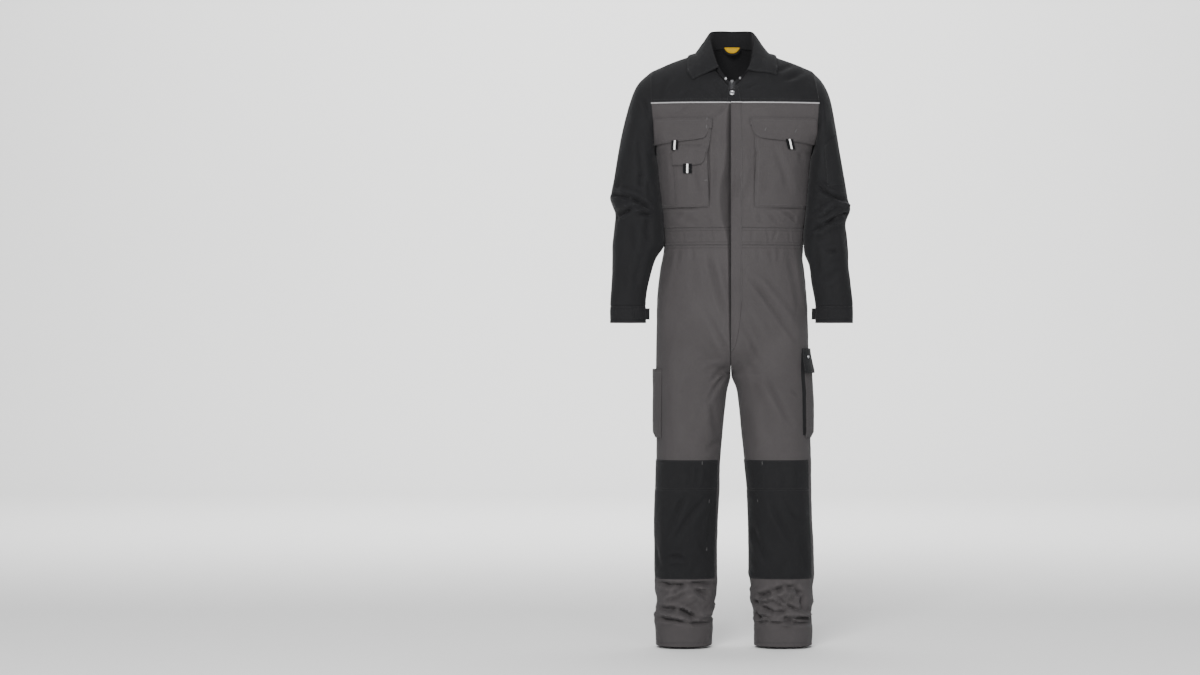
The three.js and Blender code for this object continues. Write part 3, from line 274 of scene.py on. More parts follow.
SLEEVE_FOLDS_L = [
    (233, -122, 225, -180, 6, -3.8, 2, 0),
    (244, -138, 238, -212, 8, 2, 0, 0),
    (215, -265, 223, -318, 8, 3, 3, 0),
    (223, -318, 281, -368, 6, 3.5, 4, 0),
    (204, -307, 212, -360, 9, -5, 0, 0),
    (207, -329, 299, -379, 6, -7, 4, 0.2),
    (196, -382, 238, -387, 10, -4, 0, 0),
    (196, -429, 233, -408, 7, 6.5, -2, 0),
    (233, -408, 273, -382, 8, 7.5, -3, 0),
    (273, -382, 313, -390, 8, 7, 2, 0),
    (223, -424, 265, -395, 5, 3.5, -2, 0),
    (196, -448, 238, -443, 9, -9, 2, 0),
    (238, -440, 281, -416, 6, -8, 3, 0),
    (281, -416, 315, -411, 6, -7, -1, 0),
    (191, -466, 233, -453, 6, 4.5, 2, 0),
    (233, -453, 281, -429, 7, 4, 3, 0),
    (212, -477, 249, -466, 7, -2.5, 2, 0),
    (244, -511, 281, -509, 5, -2.8, -3, 0),
    (249, -527, 286, -525, 7, 1.8, -3, 0),
    (228, -588, 292, -546, 9, -2.2, 4, 0),
    (217, -488, 228, -572, 9, -2.6, 2, 0),
    (276, -445, 292, -535, 9, 1.8, 0, 0),
    (260, -594, 270, -636, 9, -1.2, 0, 0),
    (265, -238, 254, -329, 16, -1.8, 3, 0),
    (238, -217, 233, -292, 12, 2, 0, 0),
    (196, -371, 228, -360, 7, 3, 2, 0),
]
YOKE_FOLDS = [
    (-175, -64, -199, -117, 9, -2.4, 0, 0),
    (-148, -53, -170, -111, 10, 1.8, 0, 0),
    (-204, -48, -223, -85, 8, -1.8, 0, 0),
    (-85, -74, -42, -114, 9, -1.6, 2, 0),
    (-53, -48, -26, -101, 7, -1.8, 2, 0),
    (117, -37, 159, -13, 7, -3.4, 2, 0),
    (132, -64, 201, -26, 8, -2.6, 3, 0),
    (101, -80, 180, -58, 9, 1.8, 3, 0),
    (34, -85, 80, -64, 6, -2.4, -2, 0),
    (26, -101, 114, -90, 8, 1.6, 2, 0),
    (212, -53, 238, -95, 8, -2, 2, 0),
    (196, -80, 220, -114, 8, 1.4, 0, 0),
    (-111, -85, -138, -114, 8, -1.4, 0, 0),
    (-26, -74, -21, -114, 6, -1.6, 0, 0),
]


# ------------------------------------------------------------------ small maths
def spow(c, e):
    return np.sign(c) * np.abs(c) ** e


def lerp(a, b, t):
    return a + (b - a) * t


def smooth(a, b, v):
    t = np.clip((v - a) / (b - a), 0, 1)
    return t * t * (3 - 2 * t)


def unit(a):
    return a / np.maximum(np.linalg.norm(a, axis=-1, keepdims=True), 1e-9)


def spline(ts, rows, t):
    ts = np.asarray(ts, float)
    rows = np.asarray(rows, float)
    flat = rows.ndim == 1
    if flat:
        rows = rows[:, None]
    t = np.clip(np.asarray(t, float), ts[0], ts[-1])
    k = np.clip(np.searchsorted(ts, t, side="right") - 1, 0, len(ts) - 2)
    h = (ts[k + 1] - ts[k])[..., None]
    s = (t - ts[k])[..., None] / h
    m = np.empty_like(rows)
    m[0] = (rows[1] - rows[0]) / (ts[1] - ts[0])
    m[-1] = (rows[-1] - rows[-2]) / (ts[-1] - ts[-2])
    m[1:-1] = (rows[2:] - rows[:-2]) / (ts[2:] - ts[:-2])[:, None]
    s2, s3 = s * s, s * s * s
    r = (2 * s3 - 3 * s2 + 1) * rows[k] + (s3 - 2 * s2 + s) * h * m[k] + (3 * s2 - 2 * s3) * rows[k + 1] + (s3 - s2) * h * m[k + 1]
    return r[..., 0] if flat else r


def col(tab, key, z):
    return spline(tab["z"], tab[key], z)


def stack(x, y, z):
    x, y, z = np.broadcast_arrays(x, y, z)
    return np.stack([x, y, z], -1)


def noise(p, scale, seed=0):
    """Smooth value noise from -1 to 1 at points p (…,3), one cell per `scale` mm."""
    q = np.asarray(p) / scale + seed * 17.31
    i = np.floor(q).astype(np.int64)
    f = q - i
    f = f * f * f * (f * (6 * f - 15) + 10)
    out = 0
    for dx in (0, 1):
        for dy in (0, 1):
            for dz in (0, 1):
                h = (i[..., 0] + dx) * 374761393 + (i[..., 1] + dy) * 668265263 + (i[..., 2] + dz) * 1274126177 + seed * 974634
                h = (h ^ (h >> 13)) * 1103515245
                h = ((h ^ (h >> 16)) & 0xFFFF) / 32767.5 - 1
                w = (f[..., 0] if dx else 1 - f[..., 0]) * (f[..., 1] if dy else 1 - f[..., 1]) * (f[..., 2] if dz else 1 - f[..., 2])
                out = out + h * w
    return out


# ------------------------------------------------------------------ the forms, the same as the solid's
def section(z):
    z = np.asarray(z, float)
    s = {k: col(BODY, k, z) for k in ("xl", "xr", "f", "b", "n")}
    s["cx"] = (s["xl"] + s["xr"]) / 2
    op = np.where(z > UNDERARM_Z, np.sqrt(np.clip(1 - ((z - YOKE_Z) / (YOKE_Z - UNDERARM_Z)) ** 2, 0, 1)), 0)
    half = (s["xr"] - s["xl"]) / 2
    for key, arm, depth in (("f", ARM_FRONT, s["f"]), ("b", ARM_BACK, s["b"])):
        a = half / (1 - (arm * op / depth) ** s["n"]) ** (1 / s["n"])
        s["a" + key] = a
        s["t" + key] = np.arccos(np.clip((half / a) ** (s["n"] / 2), -1, 1))
    return s


def front_body(side, u, z):
    s = section(z)
    k = FRONT_X - s["cx"]
    mid = np.arccos(np.clip(spow(k / s["af"], s["n"] / 2), -1, 1))
    t = lerp(PI - s["tf"], mid, u) if side < 0 else lerp(s["tf"], mid, u)
    e = 2 / s["n"]
    return stack(s["cx"] + s["af"] * spow(np.cos(t), e), -s["f"] * spow(np.sin(t), e), z)


def front_u(side, x, z):
    s = section(z)
    mid = np.arccos(np.clip(spow((FRONT_X - s["cx"]) / s["af"], s["n"] / 2), -1, 1))
    t = np.arccos(np.clip(spow(np.clip((x - s["cx"]) / s["af"], -1, 1), s["n"] / 2), -1, 1))
    t0 = PI - s["tf"] if side < 0 else s["tf"]
    return np.clip((t - t0) / (mid - t0), 0, 1)


def back_body(u, z):
    s = section(z)
    t = lerp(PI - s["tb"], s["tb"], u)
    e = 2 / s["n"]
    return stack(s["cx"] + s["ab"] * spow(np.cos(t), e), s["b"] * spow(np.sin(t), e), z)


def back_centre(z):
    s = section(z)
    t = np.arccos(np.clip(spow((FRONT_X - s["cx"]) / s["ab"], s["n"] / 2), -1, 1))
    return (PI - s["tb"] - t) / (PI - 2 * s["tb"])


def yoke_top(side, k, back):
    k = np.asarray(k, float)
    out_x = lerp(214.0 if side < 0 else 212.0, 68.0, np.clip(k / NECK_K, 0, 1))
    z_s = spline(SHOULDER["x"], SHOULDER["z"], out_x)
    w = np.clip((k - NECK_K) / (1 - NECK_K), 0, 1.02) * 90 * RAD
    sw, cw = np.sin(w), np.cos(w)
    on = k <= NECK_K
    if back:
        p = stack(side * 68 * cw, 66 * sw, lerp(20, 34, sw))
        bend = lerp(90, 62, sw) * RAD
    else:
        p = stack(side * lerp(68, abs(FRONT_X), 1 - spow(cw, 1.1)), -88 * np.abs(sw) ** 1.15,
                  lerp(20, -80, np.abs(sw) ** 1.5 * 0.55 + 0.45 * (1 - cw)))
        bend = lerp(90, 26, sw) * RAD
    return np.where(on[..., None], stack(side * out_x, 0.0, z_s), p), np.where(on, 90 * RAD, bend)


def yoke(side, k, v, back):
    k, v = np.broadcast_arrays(np.asarray(k, float), np.asarray(v, float))
    z0 = np.full(k.shape, YOKE_Z)
    low = back_body(k * 0.5 if side < 0 else 1 - k * 0.5, z0) if back else front_body(side, k, z0)
    top, bend = yoke_top(side, k, back)
    a = v * bend
    fall = (1 - np.cos(a)) / (1 - np.cos(bend))
    climb = np.sin(a) / np.sin(bend)
    return stack(lerp(low[..., 0], top[..., 0], climb * 0.5 + v * 0.5), lerp(low[..., 1], top[..., 1], fall),
                 lerp(low[..., 2], top[..., 2], climb))


def leg(side, u, z, back):
    u, z = np.broadcast_arrays(np.asarray(u, float), np.asarray(z, float))
    tab = LEGS[side]
    zz = np.clip(z, -1600, -700)
    o, i, f, b, y = (col(tab, k, zz) for k in "oifby")
    n = 2.25
    half, mid = (o - i) / 2, (o + i) / 2
    d = b if back else -f
    t = u * PI
    low = stack(mid + half * spow(np.cos(t), 2 / n), y + d * np.abs(np.sin(t)) ** (2 / n) * np.sign(np.sin(t) + 1e-12), z)
    if back:
        bc = back_centre(z)
        hip = back_body(u * bc if side < 0 else 1 - u * (1 - bc), z)
    else:
        hip = front_body(side, u, z)
    drop = np.clip((RISE_Z - z) / (RISE_Z - CROTCH_Z), 0, 1)
    sharp = 1 - np.sqrt(1 - drop * drop)
    soft = smooth(0, 1, (-640 - z) / (-640 - CROTCH_Z))
    w = lerp(soft, sharp, smooth(0.35, 1, u))
    w = np.where(z <= CROTCH_Z, 1.0, w)[..., None]
    p = hip * (1 - w) + low * w
    p[..., 2] = z
    return p


def leg_round(side, q, z):
    q, z = np.broadcast_arrays(np.asarray(q, float), np.asarray(z, float))
    a, b = leg(side, np.abs(q), z, False), leg(side, np.abs(q), z, True)
    return np.where((q > 0)[..., None], b, a)


def armhole(side, a):
    ca, sa = np.cos(a), np.sin(a)
    z = np.where(ca >= 0, lerp(YOKE_Z, SHOULDER_Z, ca), lerp(YOKE_Z, UNDERARM_Z, -ca))
    y = np.where(sa >= 0, -ARM_FRONT * sa, -ARM_BACK * sa)
    xb = col(BODY, "xl" if side < 0 else "xr", np.minimum(z, YOKE_Z))
    low = -212.0 if side < 0 else 228.7
    top = -214.0 if side < 0 else 212.0
    xt = lerp(low, top, ca * 0.5 + np.arcsin(np.clip(ca, -1, 1)) / (90 * RAD) * 0.5)
    return stack(np.where(z <= YOKE_Z, xb, xt), y, z)


def sleeve(side, a, s):
    a, s = np.broadcast_arrays(np.asarray(a, float), np.asarray(s, float))
    n = 2.15
    ca, sa = spow(np.cos(a), 2 / n), spow(np.sin(a), 2 / n)
    rings = [armhole(side, a)]
    for xo, zo, xi, zi, d, y, m in SLEEVES[side]:
        rings.append(stack((xo + xi) / 2 + (xo - xi) / 2 * ca + side * m * np.abs(sa), y - d * sa, (zo + zi) / 2 + (zo - zi) / 2 * ca))
    R = np.stack(rings)
    k = np.clip(np.floor(s).astype(int), 0, RINGS - 1)
    t = np.clip(s - k, 0, 1)[..., None]
    take = lambda j: np.take_along_axis(R, np.clip(j, 0, RINGS)[None, ..., None].repeat(3, -1), 0)[0]
    p0, p1 = take(k), take(k + 1)
    m0 = np.where((k == 0)[..., None], p1 - p0, (p1 - take(k - 1)) / 2)
    m1 = np.where((k == RINGS - 1)[..., None], p1 - p0, (take(k + 2) - p0) / 2)
    t2, t3 = t * t, t * t * t
    return (2 * t3 - 3 * t2 + 1) * p0 + (t3 - 2 * t2 + t) * m0 + (3 * t2 - 2 * t3) * p1 + (t3 - t2) * m1


def cuff(side, a, v):
    end = sleeve(side, a, np.full(np.shape(a), float(RINGS)))
    p = end.copy()
    inner = (np.asarray(a) > PI / 2) & (np.asarray(a) < 1.5 * PI)
    p[..., 0] += np.where(inner, -side * 0.4 * v, 0)
    p[..., 2] = lerp(CUFF_TOP, CUFF_LOW, v)
    return p


def neckline(t):
    t = np.asarray(t, float)
    m = np.minimum(t, 1 - t)
    kf = lerp(1, NECK_K, np.clip(m / 0.36, 0, 1))
    kb = lerp(NECK_K, 1, np.clip((m - 0.36) / 0.14, 0, 1))
    out = np.zeros(t.shape + (3,))
    for side, sel in ((-1, t <= 0.5), (1, t > 0.5)):
        f, b = yoke_top(side, np.maximum(kf, NECK_K + 1e-6), False)[0], yoke_top(side, np.maximum(kb, NECK_K + 1e-6), True)[0]
        out = np.where(sel[..., None], np.where((m <= 0.36)[..., None], f, b), out)
    return out


def neck_out(p):
    return unit(stack(p[..., 0], p[..., 1] * 0.8, 0.0))


def stand(t, v):
    t, v = np.broadcast_arrays(np.asarray(t, float), np.asarray(v, float))
    n, f = neckline(t), spline(COLLAR_T, COLLAR_FOLD, t)
    out = neck_out(n)
    low = n - out * 2.2 + np.array([0, 0, 1.2])
    p = lerp(low, f, v[..., None])
    return p - out * (1.5 * np.sin(v * PI))[..., None]


YS = []


def yoke_samples():
    if not YS:
        ps, ns = [], []
        for side in (-1, 1):
            for back in (False, True):
                K, V = np.meshgrid(np.linspace(0.08, 1, 60), np.linspace(0, 1, 44))
                P = lambda a, b: yoke(side, a, b, back)
                p = P(K, V)
                n = normals(P, K, V, lambda q: q * np.array([0.6, 0, 0]) + np.array([0, 0, -140.0]))
                ps.append(p.reshape(-1, 3))
                ns.append(n.reshape(-1, 3))
        YS.extend([np.concatenate(ps), np.concatenate(ns)])
    return YS


def clear_of_yoke(p, need):
    """need is one clearance for each point"""
    P, N = yoke_samples()
    flat, out = p.reshape(-1, 3).copy(), np.broadcast_to(need, p.shape[:-1]).reshape(-1)
    for _ in range(4):
        for k in range(0, len(flat), 400):
            d = ((flat[k:k + 400, None] - P[None]) ** 2).sum(-1)
            j = d.argmin(1)
            h = ((flat[k:k + 400] - P[j]) * N[j]).sum(-1)
            push = np.maximum(out[k:k + 400] - h, 0)
            flat[k:k + 400] += N[j] * push[:, None]
    return flat.reshape(p.shape)


def leaf(t, v, need=5.0):
    t, v = np.broadcast_arrays(np.asarray(t, float), np.asarray(v, float))
    f, e = spline(COLLAR_T, COLLAR_FOLD, t), spline(COLLAR_T, COLLAR_EDGE, t)
    out = neck_out(f)
    start = f + out * 0.2 + np.array([0, 0, 1.9])
    knee = f + out * 9 + np.array([0, 0, -2.0])
    w = v[..., None]
    p = lerp(lerp(start, knee, w), lerp(knee, e, w), w)
    return clear_of_yoke(p, need)


def normals(P, U, V, inside, e=1e-3):
    du, dv = P(U + e, V) - P(U - e, V), P(U, V + e) - P(U, V - e)
    n = unit(np.cross(du, dv))
    p = P(U, V)
    s = np.sign(((p - inside(p)) * n).sum(-1, keepdims=True))
    return n * np.where(s == 0, 1, s)


def axis_body(p):
    return stack(np.clip(p[..., 0], -110, 110) * 0.6, 0.0, p[..., 2])


def axis_yoke(p):
    return stack(p[..., 0] * 0.6, 0.0, -140.0)


def axis_leg(side):
    def f(p):
        low = 1 - smooth(CROTCH_Z, -700, p[..., 2])
        z = np.clip(p[..., 2], -1600, -700)
        mid = (col(LEGS[side], "o", z) + col(LEGS[side], "i", z)) / 2
        return stack(lerp(side * 60.0, mid, low), 5.0, p[..., 2])
    return f


def axis_arm(side):
    R = SLEEVES[side]
    mids = (R[:, 1] + R[:, 3]) / 2

    def f(p):
        k = np.abs(p[..., 2][..., None] - mids).argmin(-1)
        z = lerp(-165.0, p[..., 2], 1 - smooth(-300, -120, p[..., 2]))
        return stack((R[k, 0] + R[k, 2]) / 2, R[k, 5], z)
    return f


# ------------------------------------------------------------------ folds
def fold_field(rows, a, b, narrow=1.0):
    """Height in mm at points (a, b) of the soft troughs and ridges in a fold table; narrow scales their width"""
    out = np.zeros(np.shape(a))
    for x0, z0, x1, z1, w, h, bow, lean in rows:
        w = w * narrow
        L = math.hypot(x1 - x0, z1 - z0) + 1e-6
        nx, nz = (z1 - z0) / L, -(x1 - x0) / L
        cx, cz = (x0 + x1) / 2 + nx * bow * 2, (z0 + z1) / 2 + nz * bow * 2
        pad = 3.4 * w + abs(bow)
        sel = (a > min(x0, x1, cx) - pad) & (a < max(x0, x1, cx) + pad) & (b > min(z0, z1, cz) - pad) & (b < max(z0, z1, cz) + pad)
        if not sel.any():
            continue
        pa, pb = a[sel], b[sel]
        ts = np.linspace(0, 1, 9)
        qx = (1 - ts) ** 2 * x0 + 2 * ts * (1 - ts) * cx + ts ** 2 * x1
        qz = (1 - ts) ** 2 * z0 + 2 * ts * (1 - ts) * cz + ts ** 2 * z1
        best = np.full(pa.shape, 1e9)
        sgn = np.ones(pa.shape)
        along = np.zeros(pa.shape)
        for k in range(8):
            ex, ez = qx[k + 1] - qx[k], qz[k + 1] - qz[k]
            l2 = ex * ex + ez * ez + 1e-9
            t = np.clip(((pa - qx[k]) * ex + (pb - qz[k]) * ez) / l2, 0, 1)
            dx, dz = pa - qx[k] - ex * t, pb - qz[k] - ez * t
            d = np.hypot(dx, dz)
            near = d < best
            best = np.where(near, d, best)
            sgn = np.where(near, np.sign(ex * dz - ez * dx), sgn)
            along = np.where(near, (k + t) / 8, along)
        r = best / (w * (1 + lean * sgn))
        shape = np.exp(-np.abs(r) ** 1.7) - 0.30 * np.exp(-((np.abs(r) - 1.75) / 0.8) ** 2)
        taper = smooth(-0.02, 0.3, along) * smooth(-0.02, 0.3, 1 - along) * 0.85 + 0.15
        wob = 1 + 0.18 * np.sin(along * 9 + x0 * 0.7)
        out[sel] += h * shape * taper * wob
    return out


def drape(p, seed=0, amount=1.0):
    """Slow unevenness of hanging cloth: long upright waves and small ones"""
    q = p * np.array([1, 1, 0.38])
    return amount * (1.5 * noise(q, 62, 3 + seed) + 0.75 * noise(q, 29, 5 + seed) + 0.28 * noise(p * np.array([1, 1, 0.7]), 13, 7 + seed))


# ------------------------------------------------------------------ laying cloth on a form
PIECES = {}
STITCHES = {"black": [], "grey": []}


def arc_positions(P, a0, a1, fixed, along_u, step, near0, near1):
    """Parameter values from a0 to a1, close together near the borders and `step` mm apart in between"""
    t = np.linspace(a0, a1, 240)
    f = np.full(t.shape, fixed)
    p = P(t, f) if along_u else P(f, t)
    s = np.concatenate([[0], np.cumsum(np.linalg.norm(np.diff(p, axis=0), axis=1))])
    L = s[-1]
    n = max(2, int(round(L / step)))
    d = list(np.linspace(0, L, n + 1))
    close = [0.7, 1.5, 2.4, 3.4, 5.6, 6.6, 7.6, 9.0]
    for k in close:
        if near0 and k < L * 0.45:
            d.append(k)
        if near1 and k < L * 0.45:
            d.append(L - k)
    d = sorted(d)
    keep = [d[0]]
    for x in d[1:-1]:
        if x - keep[-1] > 0.55 and L - x > 0.55:
            keep.append(x)
    keep.append(d[-1])
    return np.interp(keep, s, t)


def edge_shape(kind, d, pts, seed):
    """Height at distance d mm from a border: turned edge, stitch grooves and the pucker beside them"""
    if kind is None:
        return 0.0
    pk = noise(pts, 9.5, 21) * 0.55 + noise(pts, 19, 23) * 0.75
    if kind == "seam":      # joined to its neighbour, two rows of stitches
        return (-0.85 * np.exp(-(d / 1.3) ** 2) - 0.32 * np.exp(-((d - 2.4) / 0.8) ** 2) - 0.32 * np.exp(-((d - 7.6) / 0.8) ** 2)
                + pk * np.exp(-d / 11) * smooth(0, 3, d))
    if kind == "plain":     # joined, no stitches in sight
        return -0.8 * np.exp(-(d / 1.6) ** 2) + pk * 0.7 * np.exp(-d / 12) * smooth(0, 3, d)
    if kind == "sewn":      # lies sewn down on the cloth below
        return (-0.25 * np.exp(-(d / 0.9) ** 2) - 0.3 * np.exp(-((d - 2.4) / 0.8) ** 2) + pk * 0.45 * np.exp(-d / 9) * smooth(0, 2, d))
    if kind == "free":      # turned edge that hangs free
        return -0.3 * np.exp(-(d / 1.0) ** 2) - 0.25 * np.exp(-((d - 2.4) / 0.8) ** 2) + pk * 0.4 * np.exp(-d / 9)
    if kind == "hem":
        return -0.3 * np.exp(-(d / 1.0) ** 2) - 0.3 * np.exp(-((d - 9.0) / 0.9) ** 2) + pk * 0.5 * np.exp(-d / 14)
    return 0.0


def cloth(name, P, u0, u1, v0, v1, inside, lift, field, edges, mat, nodes=None, closed=False,
          seed=0, step=None, wall=WALL, pts_fn=None, tuck=0.0, limits=None):
    """One cut piece of cloth as a closed thin wall.
    edges: kind of the borders u0, u1, v0, v1. lift: mm, or a function of (u, v, points, distances to the borders).
    limits: a function of the column that gives its own v0 and v1."""
    step = step or STEP
    vm = (v0 + v1) / 2
    us = arc_positions(P, u0, u1, vm, True, step, edges[0] is not None, edges[1] is not None)
    if closed:
        us = us[:-1]
    fs = arc_positions(P, v0, v1, (u0 + u1) / 2, False, step, edges[2] is not None, edges[3] is not None)
    U, V = np.meshgrid(us, fs)
    if limits is not None:
        lo, hi = limits(us)
        V = lo[None] + (V - v0) / (v1 - v0) * (hi - lo)[None]
    pts = P(U, V)
    nrm = normals(P, U, V, inside)
    nv, nu = U.shape
    su = np.concatenate([np.zeros((nv, 1)), np.cumsum(np.linalg.norm(np.diff(pts, axis=1), axis=2), axis=1)], 1)
    sv = np.concatenate([np.zeros((1, nu)), np.cumsum(np.linalg.norm(np.diff(pts, axis=0), axis=2), axis=0)], 0)
    dist = [su, su[:, -1:] - su, sv, sv[-1:] - sv]
    h = np.zeros((nv, nu))
    if field is not None:
        h = h + field(pts, nrm, U, V)
    # seam: strength of the painted shade line along each border and its stitch rows
    seam = np.zeros((nv, nu))
    for kind, d in zip(edges, dist):
        if kind is not None:
            h = h + edge_shape(kind, d, pts, seed)
            seam_shade_strength = {"seam": 1.0, "plain": 1.0, "sewn": 0.75, "free": 0.9, "hem": 0.8}[kind]
            seam = np.maximum(seam, seam_shade_strength * np.exp(-(d / 1.5) ** 2))
            for row in {"seam": (2.4, 7.6), "sewn": (2.4,), "free": (2.4,), "hem": (9.0,)}.get(kind, ()):
                seam = np.maximum(seam, 0.62 * np.exp(-((d - row) / 0.9) ** 2))
    base = lift(U, V, pts, dist) if callable(lift) else lift
    if tuck:
        h = h - tuck
    low = pts + nrm * (base + h)[..., None]
    # a seam gap of 0.3 mm between neighbours
    for k, (kind, axis_, first) in enumerate(zip(edges, (1, 1, 0, 0), (True, False, True, False))):
        if kind in ("seam", "plain") and not (closed and axis_ == 1):
            sl = (slice(None), 0 if first else -1) if axis_ == 1 else (0 if first else -1, slice(None))
            nx = (slice(None), 1 if first else -2) if axis_ == 1 else (1 if first else -2, slice(None))
            low[sl] = low[sl] + unit(low[nx] - low[sl]) * 0.03
    top = low + nrm * wall
    PIECES[name] = dict(pts=pts, nrm=nrm, top=top, U=U, V=V, dist=dist)
    obj = wall_object(name, top, low, su, sv, seam, closed, mat)
    obj.data.update()
    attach(obj, "root")
    for n in (nodes or [name]):
        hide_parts(n)
    return obj


def wall_object(name, top, low, su, sv, seam, closed, mat):
    nv, nu = top.shape[:2]
    verts = np.concatenate([top.reshape(-1, 3), low.reshape(-1, 3)]) * MM
    idx = np.arange(nv * nu).reshape(nv, nu)
    n = nv * nu
    cols = np.concatenate([idx, idx[:, :1]], 1) if closed else idx
    a, b, c, d = cols[:-1, :-1], cols[:-1, 1:], cols[1:, 1:], cols[1:, :-1]
    q1 = np.stack([a, b, c, d], -1).reshape(-1, 4)
    q2 = np.stack([a, d, c, b], -1).reshape(-1, 4) + n
    rims = []
    def rim(line, turn):
        x, y = line[:-1], line[1:]
        r = np.stack([x, x + n, y + n, y], -1)
        rims.append(r if not turn else r[:, ::-1])
    rim(cols[0], False)
    rim(cols[-1], True)
    if not closed:
        rim(idx[:, 0], True)
        rim(idx[:, -1], False)
    faces = np.concatenate([q1, q2] + rims)
    v1 = verts[faces[: len(q1)]]
    nn = np.cross(v1[:, 1] - v1[:, 0], v1[:, 2] - v1[:, 0])
    away = (top - low).reshape(-1, 3)[faces[: len(q1), 0]]
    if (nn * away).sum() < 0:
        faces = faces[:, ::-1]
    me = bpy.data.meshes.new(name)
    me.vertices.add(len(verts))
    me.vertices.foreach_set("co", verts.astype(np.float32).ravel())
    me.loops.add(faces.size)
    me.loops.foreach_set("vertex_index", faces.astype(np.int32).ravel())
    me.polygons.add(len(faces))
    me.polygons.foreach_set("loop_start", np.arange(0, faces.size, 4, dtype=np.int32))
    me.update(calc_edges=True)
    uvs = np.stack([su, sv], -1).reshape(-1, 2) * MM
    uvs = np.concatenate([uvs, uvs])[faces.ravel()]
    layer = me.uv_layers.new(name="cut")
    layer.data.foreach_set("uv", uvs.astype(np.float32).ravel())
    # the "seam" attribute carries the painted shade line to the cloth material
    at = me.attributes.new("seam", "FLOAT", "POINT")
    at.data.foreach_set("value", np.concatenate([seam.ravel(), seam.ravel()]).astype(np.float32))
    me.polygons.foreach_set("use_smooth", np.ones(len(faces), bool))
    me.set_sharp_from_angle(angle=math.radians(52))
    me.materials.append(mat)
    me.validate()
    obj = bpy.data.objects.new(name, me)
    bpy.context.scene.collection.objects.link(obj)
    return obj


def mesh_object(name, verts, faces, mat, smooth_=True):
    me = bpy.data.meshes.new(name)
    me.from_pydata([tuple(v) for v in verts], [], [tuple(f) for f in faces])
    me.update()
    if smooth_:
        me.polygons.foreach_set("use_smooth", np.ones(len(me.polygons), bool))
        me.set_sharp_from_angle(angle=math.radians(38))
    me.materials.append(mat)
    obj = bpy.data.objects.new(name, me)
    bpy.context.scene.collection.objects.link(obj)
    return obj


def stitch_row(colour, pts, nrm, pitch=3.6, length=2.7, thick=0.32):
    """Single stitches along a line of points on the cloth (mm), lying just proud of it"""
    seg = np.linalg.norm(np.diff(pts, axis=0), axis=1)
    s = np.concatenate([[0], np.cumsum(seg)])
    if s[-1] < pitch:
        return
    m = np.arange(pitch / 2, s[-1], pitch * (1))
    c = np.stack([np.interp(m, s, pts[:, k]) for k in range(3)], 1)
    c2 = np.stack([np.interp(m + 0.5, s, pts[:, k]) for k in range(3)], 1)
    n = unit(np.stack([np.interp(m, s, nrm[:, k]) for k in range(3)], 1))
    t = unit(c2 - c + 1e-9)
    STITCHES[colour].append((c, t, n, length, thick))


def border_stitches(name, colour, which, inset, skip=(0, 0)):
    """A stitch row parallel to a border of a piece: which is 0..3 for u0, u1, v0, v1"""
    g = PIECES[name]
    d = g["dist"][which]
    top, nrm = g["top"], g["nrm"]
    if which in (0, 1):
        n = d.shape[0]
        pts = np.array([[np.interp(inset, d[j] if which == 0 else d[j][::-1], (top[j] if which == 0 else top[j][::-1])[:, k]) for k in range(3)] for j in range(n)])
        nn = nrm[:, 0 if which == 0 else -1]
    else:
        n = d.shape[1]
        pts = np.array([[np.interp(inset, d[:, i] if which == 2 else d[::-1, i], (top[:, i] if which == 2 else top[::-1, i])[:, k]) for k in range(3)] for i in range(n)])
        nn = nrm[0 if which == 2 else -1]
    a, b = skip
    pts, nn = pts[a:len(pts) - b], nn[a:len(nn) - b]
    stitch_row(colour, pts + nn * 0.05, nn)


def build_stitches(colour, mat):
    V, F, base = [], [], 0
    for c, t, n, length, thick in STITCHES[colour]:
        side = unit(np.cross(t, n))
        for k in range(len(c)):
            a, b = c[k] - t[k] * length / 2, c[k] + t[k] * length / 2
            m = c[k] + n[k] * thick
            s = side[k] * thick * 0.62
            V += [a, b, m - s - t[k] * length * 0.3, m + s - t[k] * length * 0.3, m - s + t[k] * length * 0.3, m + s + t[k] * length * 0.3]
            F += [(base, base + 2, base + 3), (base + 2, base + 4, base + 5, base + 3), (base + 1, base + 5, base + 4),
                  (base, base + 1, base + 4, base + 2), (base, base + 3, base + 5, base + 1)]
            base += 6
    if not V:
        return None
    obj = mesh_object(f"topstitching_{colour}", np.array(V) * MM, F, mat)
    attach(obj, "root")
    return obj


# ------------------------------------------------------------------ materials
def new_material(name):
    m = bpy.data.materials.new(name)
    m.use_nodes = True
    nt = m.node_tree
    bsdf = nt.nodes["Principled BSDF"]
    return m, nt, bsdf


def node(nt, kind, **kw):
    n = nt.nodes.new(kind)
    for k, v in kw.items():
        setattr(n, k, v)
    return n


def math_node(nt, op, a, b=None, c=None):
    n = node(nt, "ShaderNodeMath", operation=op)
    for i, x in enumerate((a, b, c)):
        if x is None:
            continue
        if isinstance(x, (int, float)):
            n.inputs[i].default_value = x
        else:
            nt.links.new(x, n.inputs[i])
    return n.outputs[0]


def mix_colour(nt, fac, a, b, blend="MIX"):
    n = node(nt, "ShaderNodeMix", data_type="RGBA", blend_type=blend)
    for s, x in ((n.inputs[0], fac), (n.inputs[6], a), (n.inputs[7], b)):
        if isinstance(x, (int, float)):
            s.default_value = x
        elif isinstance(x, tuple):
            s.default_value = (*x, 1) if len(x) == 3 else x
        else:
            nt.links.new(x, s)
    return n.outputs[2]


